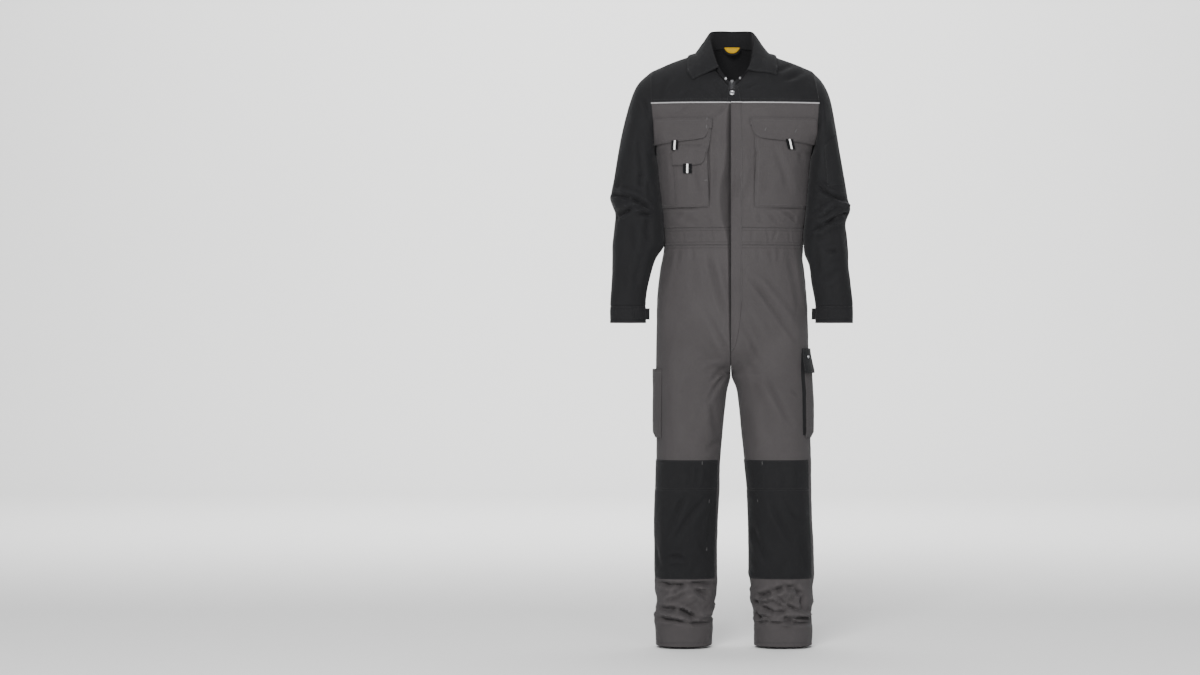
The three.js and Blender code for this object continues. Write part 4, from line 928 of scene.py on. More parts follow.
def twill(name, base, dark, pale, sheen=0.35, weave_mm=0.62, mottling=1.0, crease=1.0, spec=0.2):
    """Poly-cotton twill: diagonal ribs in the cut's own coordinates, heathered colour, faded ridges, painted shade in
    the hollows and along the seams
    """
    m, nt, bsdf = new_material(name)
    uv = node(nt, "ShaderNodeUVMap", uv_map="cut")
    obj = node(nt, "ShaderNodeTexCoord")
    sep = node(nt, "ShaderNodeSeparateXYZ")
    nt.links.new(uv.outputs[0], sep.inputs[0])
    k = 2 * PI / (weave_mm * MM)
    diag = math_node(nt, "ADD", sep.outputs[0], math_node(nt, "MULTIPLY", sep.outputs[1], 0.62))
    rib = math_node(nt, "SINE", math_node(nt, "MULTIPLY", diag, k))
    warp = math_node(nt, "SINE", math_node(nt, "MULTIPLY", sep.outputs[1], k * 1.31))
    weave = math_node(nt, "ADD", math_node(nt, "MULTIPLY", rib, 0.6), math_node(nt, "MULTIPLY", warp, 0.25))
    # heather: short streaks along the warp
    mp = node(nt, "ShaderNodeMapping")
    mp.inputs["Scale"].default_value = (900, 120, 1)
    nt.links.new(uv.outputs[0], mp.inputs[0])
    streak = node(nt, "ShaderNodeTexNoise", noise_dimensions="2D")
    streak.inputs["Scale"].default_value = 1.0
    streak.inputs["Detail"].default_value = 3
    nt.links.new(mp.outputs[0], streak.inputs["Vector"])
    slow = node(nt, "ShaderNodeTexNoise")
    slow.inputs["Scale"].default_value = 7
    slow.inputs["Detail"].default_value = 5
    slow.inputs["Roughness"].default_value = 0.6
    nt.links.new(obj.outputs["Object"], slow.inputs["Vector"])
    c = mix_colour(nt, math_node(nt, "MULTIPLY", math_node(nt, "SUBTRACT", slow.outputs["Fac"], 0.35), 1.1 * mottling), base, dark)
    c = mix_colour(nt, math_node(nt, "MULTIPLY", streak.outputs["Fac"], 0.42), c, pale)
    c = mix_colour(nt, math_node(nt, "MULTIPLY", math_node(nt, "ADD", rib, 1.0), 0.10), c, dark)
    # faded along raised edges; painted shade darkens the hollows
    geo = node(nt, "ShaderNodeNewGeometry")
    point = node(nt, "ShaderNodeMapRange")
    point.inputs[1].default_value, point.inputs[2].default_value = 0.50, 0.56
    nt.links.new(geo.outputs["Pointiness"], point.inputs[0])
    c = mix_colour(nt, math_node(nt, "MULTIPLY", point.outputs[0], 0.30), c, pale)
    hollow_shade = node(nt, "ShaderNodeMapRange")
    hollow_shade.inputs[1].default_value, hollow_shade.inputs[2].default_value = 0.50, 0.44
    nt.links.new(geo.outputs["Pointiness"], hollow_shade.inputs[0])
    c = mix_colour(nt, math_node(nt, "MULTIPLY", hollow_shade.outputs[0], 0.45), c, dark)
    # painted shade: the colour darkens along seam gaps and stitch grooves, where shadow falls
    seam = node(nt, "ShaderNodeAttribute", attribute_name="seam")
    c = mix_colour(nt, math_node(nt, "MULTIPLY", seam.outputs["Fac"], 0.42), c, tuple(x * 0.45 for x in dark))
    nt.links.new(c, bsdf.inputs["Base Color"])
    rough = math_node(nt, "ADD", math_node(nt, "MULTIPLY", slow.outputs["Fac"], 0.12), 0.80)
    nt.links.new(rough, bsdf.inputs["Roughness"])
    bsdf.inputs["Specular IOR Level"].default_value = spec
    bsdf.inputs["Sheen Weight"].default_value = sheen
    bsdf.inputs["Sheen Roughness"].default_value = 0.45
    bsdf.inputs["Sheen Tint"].default_value = (0.8, 0.8, 0.82, 1)
    # bump: creasing of the cloth, then the weave
    fine = node(nt, "ShaderNodeTexNoise")
    fine.inputs["Scale"].default_value = 38
    fine.inputs["Detail"].default_value = 4
    fine.inputs["Distortion"].default_value = 0.6
    nt.links.new(obj.outputs["Object"], fine.inputs["Vector"])
    b1 = node(nt, "ShaderNodeBump")
    b1.inputs["Strength"].default_value = 0.42 * crease
    b1.inputs["Distance"].default_value = 0.0028
    nt.links.new(fine.outputs["Fac"], b1.inputs["Height"])
    b2 = node(nt, "ShaderNodeBump")
    b2.inputs["Strength"].default_value = 0.35
    b2.inputs["Distance"].default_value = 0.00022
    nt.links.new(weave, b2.inputs["Height"])
    nt.links.new(b1.outputs[0], b2.inputs["Normal"])
    nt.links.new(b2.outputs[0], bsdf.inputs["Normal"])
    return m


def metal(name, colour, rough):
    m, nt, bsdf = new_material(name)
    obj = node(nt, "ShaderNodeTexCoord")
    n = node(nt, "ShaderNodeTexNoise")
    n.inputs["Scale"].default_value = 260
    n.inputs["Detail"].default_value = 4
    nt.links.new(obj.outputs["Object"], n.inputs["Vector"])
    c = mix_colour(nt, math_node(nt, "MULTIPLY", n.outputs["Fac"], 0.5), colour, tuple(x * 0.72 for x in colour))
    nt.links.new(c, bsdf.inputs["Base Color"])
    nt.links.new(math_node(nt, "ADD", math_node(nt, "MULTIPLY", n.outputs["Fac"], 0.2), rough), bsdf.inputs["Roughness"])
    bsdf.inputs["Metallic"].default_value = 1.0
    return m


def thread(name, colour):
    m, nt, bsdf = new_material(name)
    obj = node(nt, "ShaderNodeTexCoord")
    n = node(nt, "ShaderNodeTexNoise")
    n.inputs["Scale"].default_value = 700
    nt.links.new(obj.outputs["Object"], n.inputs["Vector"])
    c = mix_colour(nt, n.outputs["Fac"], colour, tuple(x * 0.6 for x in colour))
    nt.links.new(c, bsdf.inputs["Base Color"])
    bsdf.inputs["Roughness"].default_value = 0.62
    bsdf.inputs["Sheen Weight"].default_value = 0.3
    return m


def ribbon(name, base, stripe, half, slant=0.0):
    """Woven tape with a pale stripe down its middle, in the cut's coordinates"""
    m, nt, bsdf = new_material(name)
    uv = node(nt, "ShaderNodeUVMap", uv_map="cut")
    sep = node(nt, "ShaderNodeSeparateXYZ")
    nt.links.new(uv.outputs[0], sep.inputs[0])
    off = math_node(nt, "ABSOLUTE", math_node(nt, "SUBTRACT", math_node(nt, "ADD", sep.outputs[0], math_node(nt, "MULTIPLY", sep.outputs[1], slant)), half * MM))
    on = math_node(nt, "LESS_THAN", off, 0.0024)
    rib = math_node(nt, "SINE", math_node(nt, "MULTIPLY", sep.outputs[1], 2 * PI / 0.0009))
    c = mix_colour(nt, on, base, stripe)
    c = mix_colour(nt, math_node(nt, "MULTIPLY", math_node(nt, "ADD", rib, 1.0), 0.16), c, tuple(x * 0.5 for x in base))
    nt.links.new(c, bsdf.inputs["Base Color"])
    bsdf.inputs["Roughness"].default_value = 0.8
    bsdf.inputs["Specular IOR Level"].default_value = 0.1
    b = node(nt, "ShaderNodeBump")
    b.inputs["Strength"].default_value = 0.5
    b.inputs["Distance"].default_value = 0.0002
    nt.links.new(rib, b.inputs["Height"])
    nt.links.new(b.outputs[0], bsdf.inputs["Normal"])
    return m


GREY_BASE, GREY_DARK, GREY_PALE = (0.0365, 0.0329, 0.0335), (0.0205, 0.0184, 0.0189), (0.0540, 0.0495, 0.0502)
BLACK_BASE, BLACK_DARK, BLACK_PALE = (0.0060, 0.0060, 0.0066), (0.0032, 0.0032, 0.0036), (0.0110, 0.0110, 0.0121)
grey = twill("grey_twill", GREY_BASE, GREY_DARK, GREY_PALE, sheen=0.05)
black = twill("black_twill", BLACK_BASE, BLACK_DARK, BLACK_PALE, sheen=0.05, spec=0.16)
piping_mat = twill("piping_braid", (0.22, 0.215, 0.22), (0.15, 0.147, 0.15), (0.30, 0.295, 0.30), sheen=0.2, weave_mm=0.9)
label_mat = twill("label_weave", (0.36, 0.212, 0.008), (0.28, 0.16, 0.006), (0.40, 0.24, 0.012), sheen=0.0, weave_mm=0.5, crease=0.3, spec=0.05)
tape_mat = twill("zip_tape", (0.020, 0.020, 0.022), (0.012, 0.012, 0.013), (0.04, 0.04, 0.042), sheen=0.1, weave_mm=0.8, crease=0.2)
tab_mat = ribbon("pull_tab_webbing", (0.0042, 0.0042, 0.0048), (0.78, 0.78, 0.77), 8.0)
steel = metal("snap_nickel", (0.46, 0.46, 0.47), 0.24)
slider_metal = metal("slider_zinc", (0.07, 0.07, 0.072), 0.42)
tooth_mat = metal("zip_teeth", (0.05, 0.05, 0.052), 0.45)
stud_metal = metal("stud_nickel", (0.22, 0.22, 0.225), 0.34)
thread_black = thread("thread_black", (0.011, 0.011, 0.012))
thread_grey = thread("thread_grey", (0.045, 0.042, 0.043))
bar_thread = thread("bar_thread", (0.045, 0.043, 0.044))


# ------------------------------------------------------------------ heights shared by all layers
GAIN = 1.35
# the right front falls away beside the placket: height, width, depth
DIP = table("z w d", [(-840, 2, 0), (-769, 3.5, 4), (-700, 5, 9), (-620, 6, 12), (-493, 8, 17), (-455, 13, 22), (-425, 22, 28),
                      (-385, 26, 31), (-335, 25, 30), (-296, 17, 24), (-250, 12, 20), (-180, 11, 17), (-140, 8, 11), (-119, 4, 3)])
# folds of the back, seen from behind but kept in the same x: seat, waist, shoulder blades
BACK_FOLDS = [
    (-150, -150, -95, -265, 14, 2.0, 6, 0), (150, -160, 88, -280, 13, 1.8, -6, 0), (-60, -140, -52, -300, 16, -1.4, 3, 0),
    (48, -150, 60, -330, 15, -1.5, -3, 0), (0, -210, -6, -420, 14, 1.3, 4, 0), (-120, -320, -104, -440, 10, 1.8, 2, 0),
    (-84, -372, -78, -446, 8, -1.8, 0, 0), (-36, -380, -44, -446, 8, 1.6, 0, 0), (22, -360, 16, -446, 9, -1.7, 0, 0),
    (66, -372, 74, -446, 9, 1.9, 0, 0), (112, -350, 104, -446, 8, -1.6, 0, 0), (150, -380, 140, -446, 8, 1.6, 0, 0),
    (-96, -452, -92, -490, 4, -1.1, 0, 0), (-52, -452, -55, -490, 4, -1.0, 0, 0), (-8, -452, -6, -490, 4, -1.2, 0, 0),
    (40, -452, 44, -490, 4, -1.0, 0, 0), (88, -452, 84, -490, 4, -1.1, 0, 0),
    (-110, -500, -96, -640, 12, 1.7, 5, 0), (-60, -498, -66, -610, 10, -1.4, 0, 0), (64, -500, 70, -600, 10, 1.5, 0, 0),
    (112, -500, 98, -650, 12, -1.6, -5, 0), (-14, -700, -92, -790, 12, -2.6, -10, 0), (12, -705, 96, -796, 12, -2.5, 10, 0),
    (-20, -770, -120, -850, 10, 2.2, -8, 0), (18, -775, 124, -846, 10, 2.1, 8, 0), (-150, -880, -132, -1010, 13, 1.6, 4, 0),
    (150, -872, 138, -1020, 13, 1.7, -4, 0), (-78, -900, -96, -1040, 12, -1.6, 0, 0), (84, -890, 100, -1030, 12, -1.6, 0, 0),
    (-180, -1120, -60, -1150, 9, -3.0, 7, 0), (-188, -1165, -52, -1180, 9, 2.6, 8, 0), (-186, -1200, -66, -1216, 8, -2.8, 6, 0),
    (-170, -1245, -72, -1236, 8, 2.0, 5, 0), (66, -1128, 190, -1140, 9, -2.8, 8, 0), (58, -1172, 196, -1166, 9, 2.7, 8, 0),
    (74, -1214, 192, -1208, 8, -2.6, 6, 0), (78, -1250, 180, -1252, 8, 2.0, 5, 0),
    (-120, -1260, -128, -1370, 14, 1.5, 3, 0), (128, -1268, 136, -1380, 14, 1.6, -3, 0)]
# narrow channels on the cloth beside what is sewn on it
CHANNELS = [
    (-61.5, -206, -60.5, -392, 2.8, -4.5, 0, 0), (-203, -398.5, -66, -399, 2.6, -3.0, 0, 0),
    (60.5, -214, 60.5, -392, 2.6, -2.5, 0, 0), (66, -399, 196, -397, 2.6, -2.6, 0, 0)]


def dip(p):
    z = np.clip(p[..., 2], -840, -119)
    w, d = col(DIP, "w", z), col(DIP, "d", z)
    off = FRONT_X - p[..., 0]
    on = (p[..., 1] < 0) & (p[..., 2] > -840)
    return np.where(on, -d * (1 - np.clip(off / (1.2 * w), 0, 1)) ** 1.25, 0)


def settle(h, p, n):
    """Folds of the bodice die out towards its sides, where the armholes and the sleeves are"""
    reach = smooth(6.0, 34.0, np.minimum(np.abs(p[..., 0] - col(BODY, "xl", p[..., 2])), np.abs(p[..., 0] - col(BODY, "xr", p[..., 2]))))
    low = smooth(BAND_LOW - 40, BAND_LOW, p[..., 2])
    return h * lerp(1.0, reach, low)


def facing(n, lo=0.12, hi=0.55):
    return smooth(lo, hi, -n[..., 1])


def front_height(side, base=True):
    def f(p, n, U=None, V=None):
        w = facing(n)
        h = GAIN * w * fold_field(BODY_FOLDS, p[..., 0], p[..., 2])
        h += drape(p, 1, 0.8)
        h = settle(h, p, n)
        if base:
            h += w * fold_field(CHANNELS, p[..., 0], p[..., 2])
            if side < 0:
                h += dip(p)
        return h
    return f


def back_height(p, n, U=None, V=None):
    w = smooth(0.1, 0.5, n[..., 1])
    h = GAIN * w * fold_field(BACK_FOLDS, p[..., 0], p[..., 2]) + drape(p, 1, 0.8)
    return settle(h, p, n)


def bunch(side, p):
    """Cloth pushed together above the hem fold: uneven rings round the leg"""
    z = np.clip(p[..., 2], -1600, -700)
    mid = (col(LEGS[side], "o", z) + col(LEGS[side], "i", z)) / 2
    turn = np.arctan2(-(p[..., 1] - 6), p[..., 0] - mid)
    ring = np.stack([np.cos(turn) * 82, np.sin(turn) * 82, (p[..., 2] + 22 * np.sin(turn * 2 + side)) * 3.0], -1)
    r1, r2 = noise(ring, 58, 31 + side), noise(ring * 1.0, 34, 37 + side)
    z = p[..., 2]
    low = smooth(-1345, -1400, z) * (1 - smooth(-1478, -1497, z))
    return low * (3.4 * (1 - 2.2 * np.abs(r1) ** 0.8) + 1.8 * r2)


def leg_height(side, back, base=True):
    def f(p, n, U=None, V=None):
        z = p[..., 2]
        low = smooth(-560, -760, z)
        if back:
            w = smooth(0.05, 0.45, n[..., 1])
            h = GAIN * w * fold_field(BACK_FOLDS, p[..., 0], z)
        else:
            w = facing(n, 0.05, 0.45)
            h = w * (0.85 * fold_field(BODY_FOLDS, p[..., 0], z) + 1.15 * fold_field(KNEE_FOLDS, p[..., 0], z)
                     + 1.9 * fold_field(HEM_FOLDS_R if side < 0 else HEM_FOLDS_L, p[..., 0], z, 0.78))
        h = h + drape(p, 1, 1) * lerp(0.62, 0.95, low)
        h = h + bunch(side, p) * (1.0 if back else lerp(1.0, 0.45, w))
        hemw = smooth(-1492, -1500, z)
        h = h * (1 - 0.55 * hemw) + 0.5 * hemw
        if base and side < 0 and not back:
            h = h + dip(p)
        # close to the crotch the four pieces meet: keep them together
        near = np.exp(-((z - CROTCH_Z) / 24) ** 2) * smooth(0.86, 1, U)
        h = h * (1 - 0.85 * near)
        inner = smooth(0.93, 1, U) * smooth(-775, CROTCH_Z, z) * (1 - smooth(-905, -960, z))
        return np.where(inner > 0, np.minimum(h, lerp(6.0, 0.25, inner)), h)
    return f


def sleeve_height(side):
    rows = SLEEVE_FOLDS_R if side < 0 else SLEEVE_FOLDS_L
    R = SLEEVES[side]
    mids = (R[:, 1] + R[:, 3]) / 2

    def f(p, n, U=None, V=None):
        x, z = p[..., 0], p[..., 2]
        cx = np.interp(-z, -mids, (R[:, 0] + R[:, 2]) / 2)
        w = facing(n, 0.0, 0.4)
        b = smooth(0.0, 0.4, n[..., 1])
        h = GAIN * 1.1 * (w * fold_field(rows, x, z) + b * fold_field(rows, 2 * cx - x, z + 14))
        h += drape(p, 2 + side, 0.85)
        inner = smooth(-248, -262, z) * (1 - smooth(-495, -525, z)) * smooth(0.25, 0.8, -side * n[..., 0])
        h = lerp(h, -0.2, inner)
        return h * smooth(0.0, 1.0, V)
    return f


def yoke_height(side, back):
    def f(p, n, U=None, V=None):
        under = smooth(128, 108, np.abs(p[..., 0])) * smooth(-78, -62, p[..., 2])
        h = drape(p, 1, 0.6) * (1 - 0.8 * under)
        arm = smooth(4, 30, np.minimum(np.abs(p[..., 0] + 214), np.abs(p[..., 0] - 220)))
        if not back:
            h += GAIN * fold_field(YOKE_FOLDS, p[..., 0], p[..., 2]) * facing(n, 0.0, 0.35) * (1 - 0.8 * under)
            if side < 0:
                h += np.where(p[..., 2] < -70, -2.0 * (1 - smooth(0.3, 1.4, (FRONT_X - p[..., 0]) / 7)), 0)
        else:
            w = smooth(0.0, 0.35, n[..., 1])
            h += w * GAIN * fold_field([(-150, -60, -90, -112, 14, 1.6, 5, 0), (140, -58, 96, -110, 14, 1.5, -5, 0),
                                        (-30, -40, -24, -112, 18, -1.3, 0, 0), (34, -44, 30, -114, 16, 1.2, 0, 0)], p[..., 0], p[..., 2])
        return h * arm
    return f


def sewn_lift(middle, flat=0.15, reach=9.0, open_edge=None, open_height=0.0):
    """Lies down along its sewn borders and stands off in the middle; open_edge stands off as well"""
    def f(U, V, pts, dist):
        h = np.full(U.shape, float(middle))
        for k, d in enumerate(dist):
            if k != open_edge:
                h = np.minimum(h, lerp(flat, middle, smooth(0, reach, d)))
        if open_edge is not None:
            others = [smooth(0, 22, d) for k, d in enumerate(dist) if k != open_edge and (k // 2) != (open_edge // 2)]
            w = np.minimum.reduce(others) if others else 1.0
            h = h + open_height * w * np.exp(-(dist[open_edge] / 16) ** 2)
        return h
    return f


def flap_lift(low, stand, flat=0.2):
    """Sewn along its top, hanging free at the sides and foot"""
    def f(U, V, pts, dist):
        top = smooth(0, 14, dist[2])
        foot = np.exp(-(dist[3] / 26) ** 2)
        side = np.maximum(np.exp(-(dist[0] / 14) ** 2), np.exp(-(dist[1] / 14) ** 2)) * smooth(8, 40, dist[2])
        return lerp(flat + low * 0.4, low, top) + stand * np.maximum(foot, side * 0.7) * top
    return f


# ------------------------------------------------------------------ bodice, yoke, waistband
right_front = lambda u, z: front_body(-1, u, z)
left_front = lambda u, z: front_body(1, u, z)
FINE = 3.6
SEAMED = ("seam", "free", "seam", "plain")
cloth("chest_front_right", right_front, 0, 1, YOKE_Z, BAND_TOP, axis_body, -WALL, front_height(-1), ("plain", "free", "seam", "plain"), grey, step=FINE, seed=1)
cloth("chest_front_left", left_front, 0, 1, YOKE_Z, BAND_TOP, axis_body, -WALL, front_height(1), ("plain", "plain", "seam", "plain"), grey, step=FINE, seed=2)
cloth("back_bodice", back_body, 0, 1, YOKE_Z, BAND_TOP, axis_body, -WALL, back_height, ("plain", "plain", "seam", "plain"), grey, seed=3)
cloth("waistband_front_right", right_front, 0, 1, BAND_TOP, BAND_LOW, axis_body, -WALL, front_height(-1), ("plain", "free", "seam", "seam"), grey, step=FINE, seed=4)
cloth("waistband_front_left", left_front, 0, 1, BAND_TOP, BAND_LOW, axis_body, -WALL, front_height(1), ("plain", "plain", "seam", "seam"), grey, step=FINE, seed=5)
cloth("waistband_back", back_body, 0, 1, BAND_TOP, BAND_LOW, axis_body, -WALL, back_height, ("plain", "plain", "seam", "seam"), grey, seed=6)


def yoke_all(u, v):
    u, v = np.broadcast_arrays(u, v)
    return np.where((u <= 1)[..., None], yoke(-1, np.minimum(u, 1), v, True), yoke(1, np.minimum(2 - u, 1), v, True))


cloth("yoke_front_right", lambda k, v: yoke(-1, k, v, False), 0, 1, 0, 1, axis_yoke, -WALL, yoke_height(-1, False), ("plain", "free", "seam", "plain"), black, step=FINE, seed=7)
cloth("yoke_front_left", lambda k, v: yoke(1, k, v, False), 0, 1, 0, 1, axis_yoke, -WALL, yoke_height(1, False), ("plain", "plain", "seam", "plain"), black, step=FINE, seed=8)
cloth("yoke_back", yoke_all, 0, 2, 0, 1, axis_yoke, -WALL, yoke_height(0, True), ("plain", "plain", "seam", "plain"), black, seed=9)

# ------------------------------------------------------------------ hips and legs
def trouser(side, back):
    def P(u, z):
        p = leg(side, u, z, back)
        u_, z_ = np.broadcast_arrays(u, z)
        p[..., 0] += np.where(z_ > CROTCH_Z, side * 0.05 * smooth(0.88, 1, u_), 0)
        return p
    return P


for side, word in ((-1, "right"), (1, "left")):
    for back, face in ((False, "front"), (True, "back")):
        cloth(f"trouser_{face}_{word}", trouser(side, back), 0, 1, BAND_LOW, HEM_Z, axis_leg(side), -WALL,
              leg_height(side, back), ("plain", "plain", "seam", "hem"), grey, step=4.4 if not (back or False) else None,
              seed=10 + side + 3 * back)

# ------------------------------------------------------------------ sleeves and cuffs
for side, word in ((-1, "right"), (1, "left")):
    def S(a, s, side=side):
        """The sleeve with a narrow seam allowance tucked under the bodice and the yoke"""
        a, s = np.broadcast_arrays(np.asarray(a, float), np.asarray(s, float))
        p = sleeve(side, a, np.maximum(s, 0))
        back = unit(sleeve(side, a, np.zeros(a.shape)) - sleeve(side, a, np.full(a.shape, 0.25)))
        return p + back * (3.0 * np.clip(-s / 0.05, 0, 1))[..., None]
    cloth(f"sleeve_{word}", S, PI, 3 * PI, -0.05, RINGS, axis_arm(side), -WALL, sleeve_height(side), (None, None, "plain", "plain"),
          black, closed=True, step=4.4, seed=20 + side)
    C = lambda a, v, side=side: cuff(side, a, v)
    cloth(f"cuff_{word}", C, PI, 3 * PI, 0, 1, axis_arm(side), -WALL, lambda p, n, U, V, s=side: drape(p, 2 + s, 1.0) * lerp(0.85, 0.45, smooth(0, 0.5, V)) + 0.5 * smooth(0.05, 0.3, V),
          (None, None, "seam", "hem"), black, closed=True, step=FINE, seed=24 + side)

    def T(u, v, side=side):
        u, v = np.broadcast_arrays(np.asarray(u, float), np.asarray(v, float))
        p = cuff(side, lerp(108 * RAD, 172 * RAD, np.clip(u, 0, 1)), v)
        k = np.clip(u - 1, 0, 1)
        return p + np.stack([-side * 11 * k, -5 * k, 0 * k], -1)
    cloth(f"cuff_tab_{word}", T, 0, 2, 0.14, 0.8, lambda p, s=side: stack(s * 268.0, 60.0, p[..., 2]), 1.0, None, ("sewn", "free", "free", "free"),
          black, step=2.4, seed=26 + side)
cloth("sleeve_pocket_left", lambda a, s: sleeve(1, a, s), 18 * RAD, 90 * RAD, 3.1, 5.6, axis_arm(1), sewn_lift(1.1, open_edge=2, open_height=1.5), sleeve_height(1),
      ("sewn", "sewn", "free", "sewn"), black, step=FINE, seed=28)

# ------------------------------------------------------------------ collar
def collar_height(p, n, U=None, V=None):
    return 0.5 * noise(p, 30, 41) + 0.35 * noise(p, 14, 43)


cloth("collar_stand", stand, 0.02, 0.98, 0, 1, lambda p: stack(0.0, 5.0, p[..., 2] - 8), -WALL, lambda p, n, U, V: 0.25 * noise(p, 16, 45),
      ("free", "free", "plain", "plain"), black, step=FINE, seed=30)
LEAF_LIFT = lambda U, V, pts, dist: 0.1 + 0.5 * np.exp(-(dist[3] / 12) ** 2)
cloth("collar_leaf", lambda t, v: leaf(t, v, 3.4), LEAF_T, 1 - LEAF_T, 0, 1, lambda p: stack(0.0, 5.0, p[..., 2] - 60), LEAF_LIFT,
      collar_height, ("free", "free", "plain", "free"), black, step=FINE, seed=31)
cloth("hanger_loop", lambda u, v: stack(u * 23, 54 - 3 * (1 - u * u), 39 - 17 * np.maximum(1 - np.abs(u) ** 2.6, 0) ** 0.8 - v * 5), -0.98, 0.98, 0, 1,
      lambda p: stack(p[..., 0], 200.0, p[..., 2]), 0.0, None, ("free", "free", "free", "free"), black, step=2.2, seed=32)


def label_form(u, v):
    u, v = np.broadcast_arrays(np.asarray(u, float), np.asarray(v, float))
    return stack(u * 20, 57.5 - 1.5 * (1 - u * u), lerp(38.5, 23.0 + 13.0 * np.abs(u) ** 2.6, v))


cloth("neck_label", label_form, -1, 1, 0, 1, lambda p: stack(p[..., 0], 200.0, p[..., 2]), 0.0, None, ("sewn", "sewn", "sewn", "sewn"),
      label_mat, step=2.5, wall=0.7, seed=33)

# ------------------------------------------------------------------ front closing
U_FLY = float(front_u(1, 29.0, -262.0))


def placket_form(u, z):
    u, z = np.broadcast_arrays(np.asarray(u, float), np.asarray(z, float))
    return np.where((z > BAND_LOW)[..., None], front_body(1, u, z), trouser(1, False)(u, np.minimum(z, BAND_LOW)))


def placket_height(p, n, U, V):
    top = front_height(1, False)(p, n)
    low = leg_height(1, False, False)(p, n, U, V)
    k = smooth(BAND_LOW + 30, BAND_LOW - 30, p[..., 2])
    return lerp(top, low, k)


def placket_low(u):
    """Foot of the placket: curves in from its stitch line to the centre front"""
    k = (u - U_FLY) / (1 - U_FLY)
    return np.full(u.shape, YOKE_Z), FLY_END + (FLY_END + 640) * -1 * np.clip(1 - k, 0, 1) ** 2.3


PLACKET_LIFT = lambda U, V, pts, dist: lerp(-0.35, 1.7, smooth(0, 12, dist[0])) * lerp(0.25, 1, smooth(0, 9, dist[3])) + 0.9 * np.exp(-(dist[1] / 8) ** 2)
cloth("placket_body", placket_form, U_FLY, 1, YOKE_Z, FLY_END, axis_body, PLACKET_LIFT, placket_height, ("sewn", "free", "plain", "sewn"), grey,
      step=FINE, seed=34, limits=placket_low)
U_OVER = float(front_u(-1, -15.0, YOKE_Z))


def topform(c, v):
    c, v = np.broadcast_arrays(np.asarray(c, float), np.asarray(v, float))
    return np.where((c <= 1)[..., None], yoke(1, np.minimum(c, 1), v, False), yoke(-1, np.clip(2 - c, 0, 1), v, False))


cloth("placket_top", topform, U_FLY, 2 - U_OVER, 0, 0.8, axis_yoke, lambda U, V, pts, dist: lerp(0.2, 2.2, smooth(0, 7, dist[0])) + 0.6 * np.exp(-(dist[1] / 8) ** 2),
      lambda p, n, U, V: yoke_height(1, False)(p, n), ("sewn", "free", "plain", "sewn"), black, step=FINE, seed=35)
for name, P, a, b, side, lift in (("piping_right", right_front, 0, 1, -1, 0.5), ("piping_left", left_front, 0, U_FLY, 1, 0.5),
                                  ("piping_placket", left_front, U_FLY, 1, 1, 3.2)):
    cloth(name, P, a, b, -119.0, -122.2, axis_body, lambda U, V, pts, dist, lift=lift: lift + 0.8 * np.sqrt(np.clip(1 - ((V + 120.6) / 1.75) ** 2, 0, 1)),
          front_height(side, side < 0), (None, None, None, None), piping_mat, step=2.4, wall=0.8, seed=36)

ZIP_HALF, ZIP_LOW = 13, -738


def front_line_y(z):
    z = np.asarray(z, float)
    fb = front_body(1, np.ones(z.shape), np.minimum(z, YOKE_Z))[..., 1] + 5 + col(DIP, "d", np.clip(z, -840, -119)) * smooth(-119, -160, z)
    return np.where(z > -84, lerp(-73, -79, np.clip((z + 62) / -22, 0, 1)), np.where(z > YOKE_Z, lerp(-79, -104, smooth(-84, YOKE_Z, z)), fb))


def zip_form(x, z):
    x, z = np.broadcast_arrays(np.asarray(x, float), np.asarray(z, float))
    return stack(x, front_line_y(z), z)


cloth("zip", zip_form, -ZIP_HALF, ZIP_HALF, -62, ZIP_LOW, lambda p: stack(p[..., 0], 400.0, p[..., 2]), -1.0, None, ("free", "free", "free", "free"),
      tape_mat, step=3.0, wall=0.8, seed=37)
V_, F_ = [], []
zs = np.arange(-66.0, ZIP_LOW + 4, -2.6)
ys = front_line_y(zs)
for k, (z, y) in enumerate(zip(zs, ys)):
    s = 1 if k % 2 else -1
    b = len(V_)
    x0, x1 = (-0.4, 3.4) if s > 0 else (-3.4, 0.4)
    V_ += [(x, yy, zz) for x in (x0, x1) for yy in (y - 1.5, y - 0.1) for zz in (z - 0.62, z + 0.62)]
    F_ += [(b, b + 1, b + 3, b + 2), (b + 4, b + 6, b + 7, b + 5), (b, b + 4, b + 5, b + 1), (b + 2, b + 3, b + 7, b + 6), (b, b + 2, b + 6, b + 4), (b + 1, b + 5, b + 7, b + 3)]
teeth = mesh_object("zip_teeth", np.array(V_) * MM, F_, tooth_mat, smooth_=False)
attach(teeth, "root")


def lathe(name, at, n, rows, mat, nodes, segs=40):
    """Turned part standing on `at` along n; rows of radius and height, mm"""
    n = unit(np.asarray(n, float))
    a = unit(np.cross(n, [0.0, 0.0, 1.0]) if abs(n[2]) < 0.9 else np.cross(n, [1.0, 0.0, 0.0]))
    b = np.cross(n, a)
    V, F = [], []
    for r, h in rows:
        for k in range(segs):
            w = 2 * PI * k / segs
            V.append(np.asarray(at) + n * h + (a * math.cos(w) + b * math.sin(w)) * max(r, 0.02))
    for j in range(len(rows) - 1):
        for k in range(segs):
            k2 = (k + 1) % segs
            F.append((j * segs + k, j * segs + k2, (j + 1) * segs + k2, (j + 1) * segs + k))
    F.append(tuple(range(segs))[::-1])
    F.append(tuple((len(rows) - 1) * segs + k for k in range(segs)))
    obj = mesh_object(name, np.array(V) * MM, F, mat)
    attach(obj, "root")
    for q in nodes:
        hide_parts(q)
    return obj


def snap_rows(r, h):
    return [(0.12 * r, h * 0.62), (0.40 * r, h * 0.60), (0.50 * r, h * 0.78), (0.60 * r, h * 0.98), (0.78 * r, h), (0.92 * r, h * 0.86), (r, h * 0.55), (r, 0.0), (0.3 * r, 0.0)]


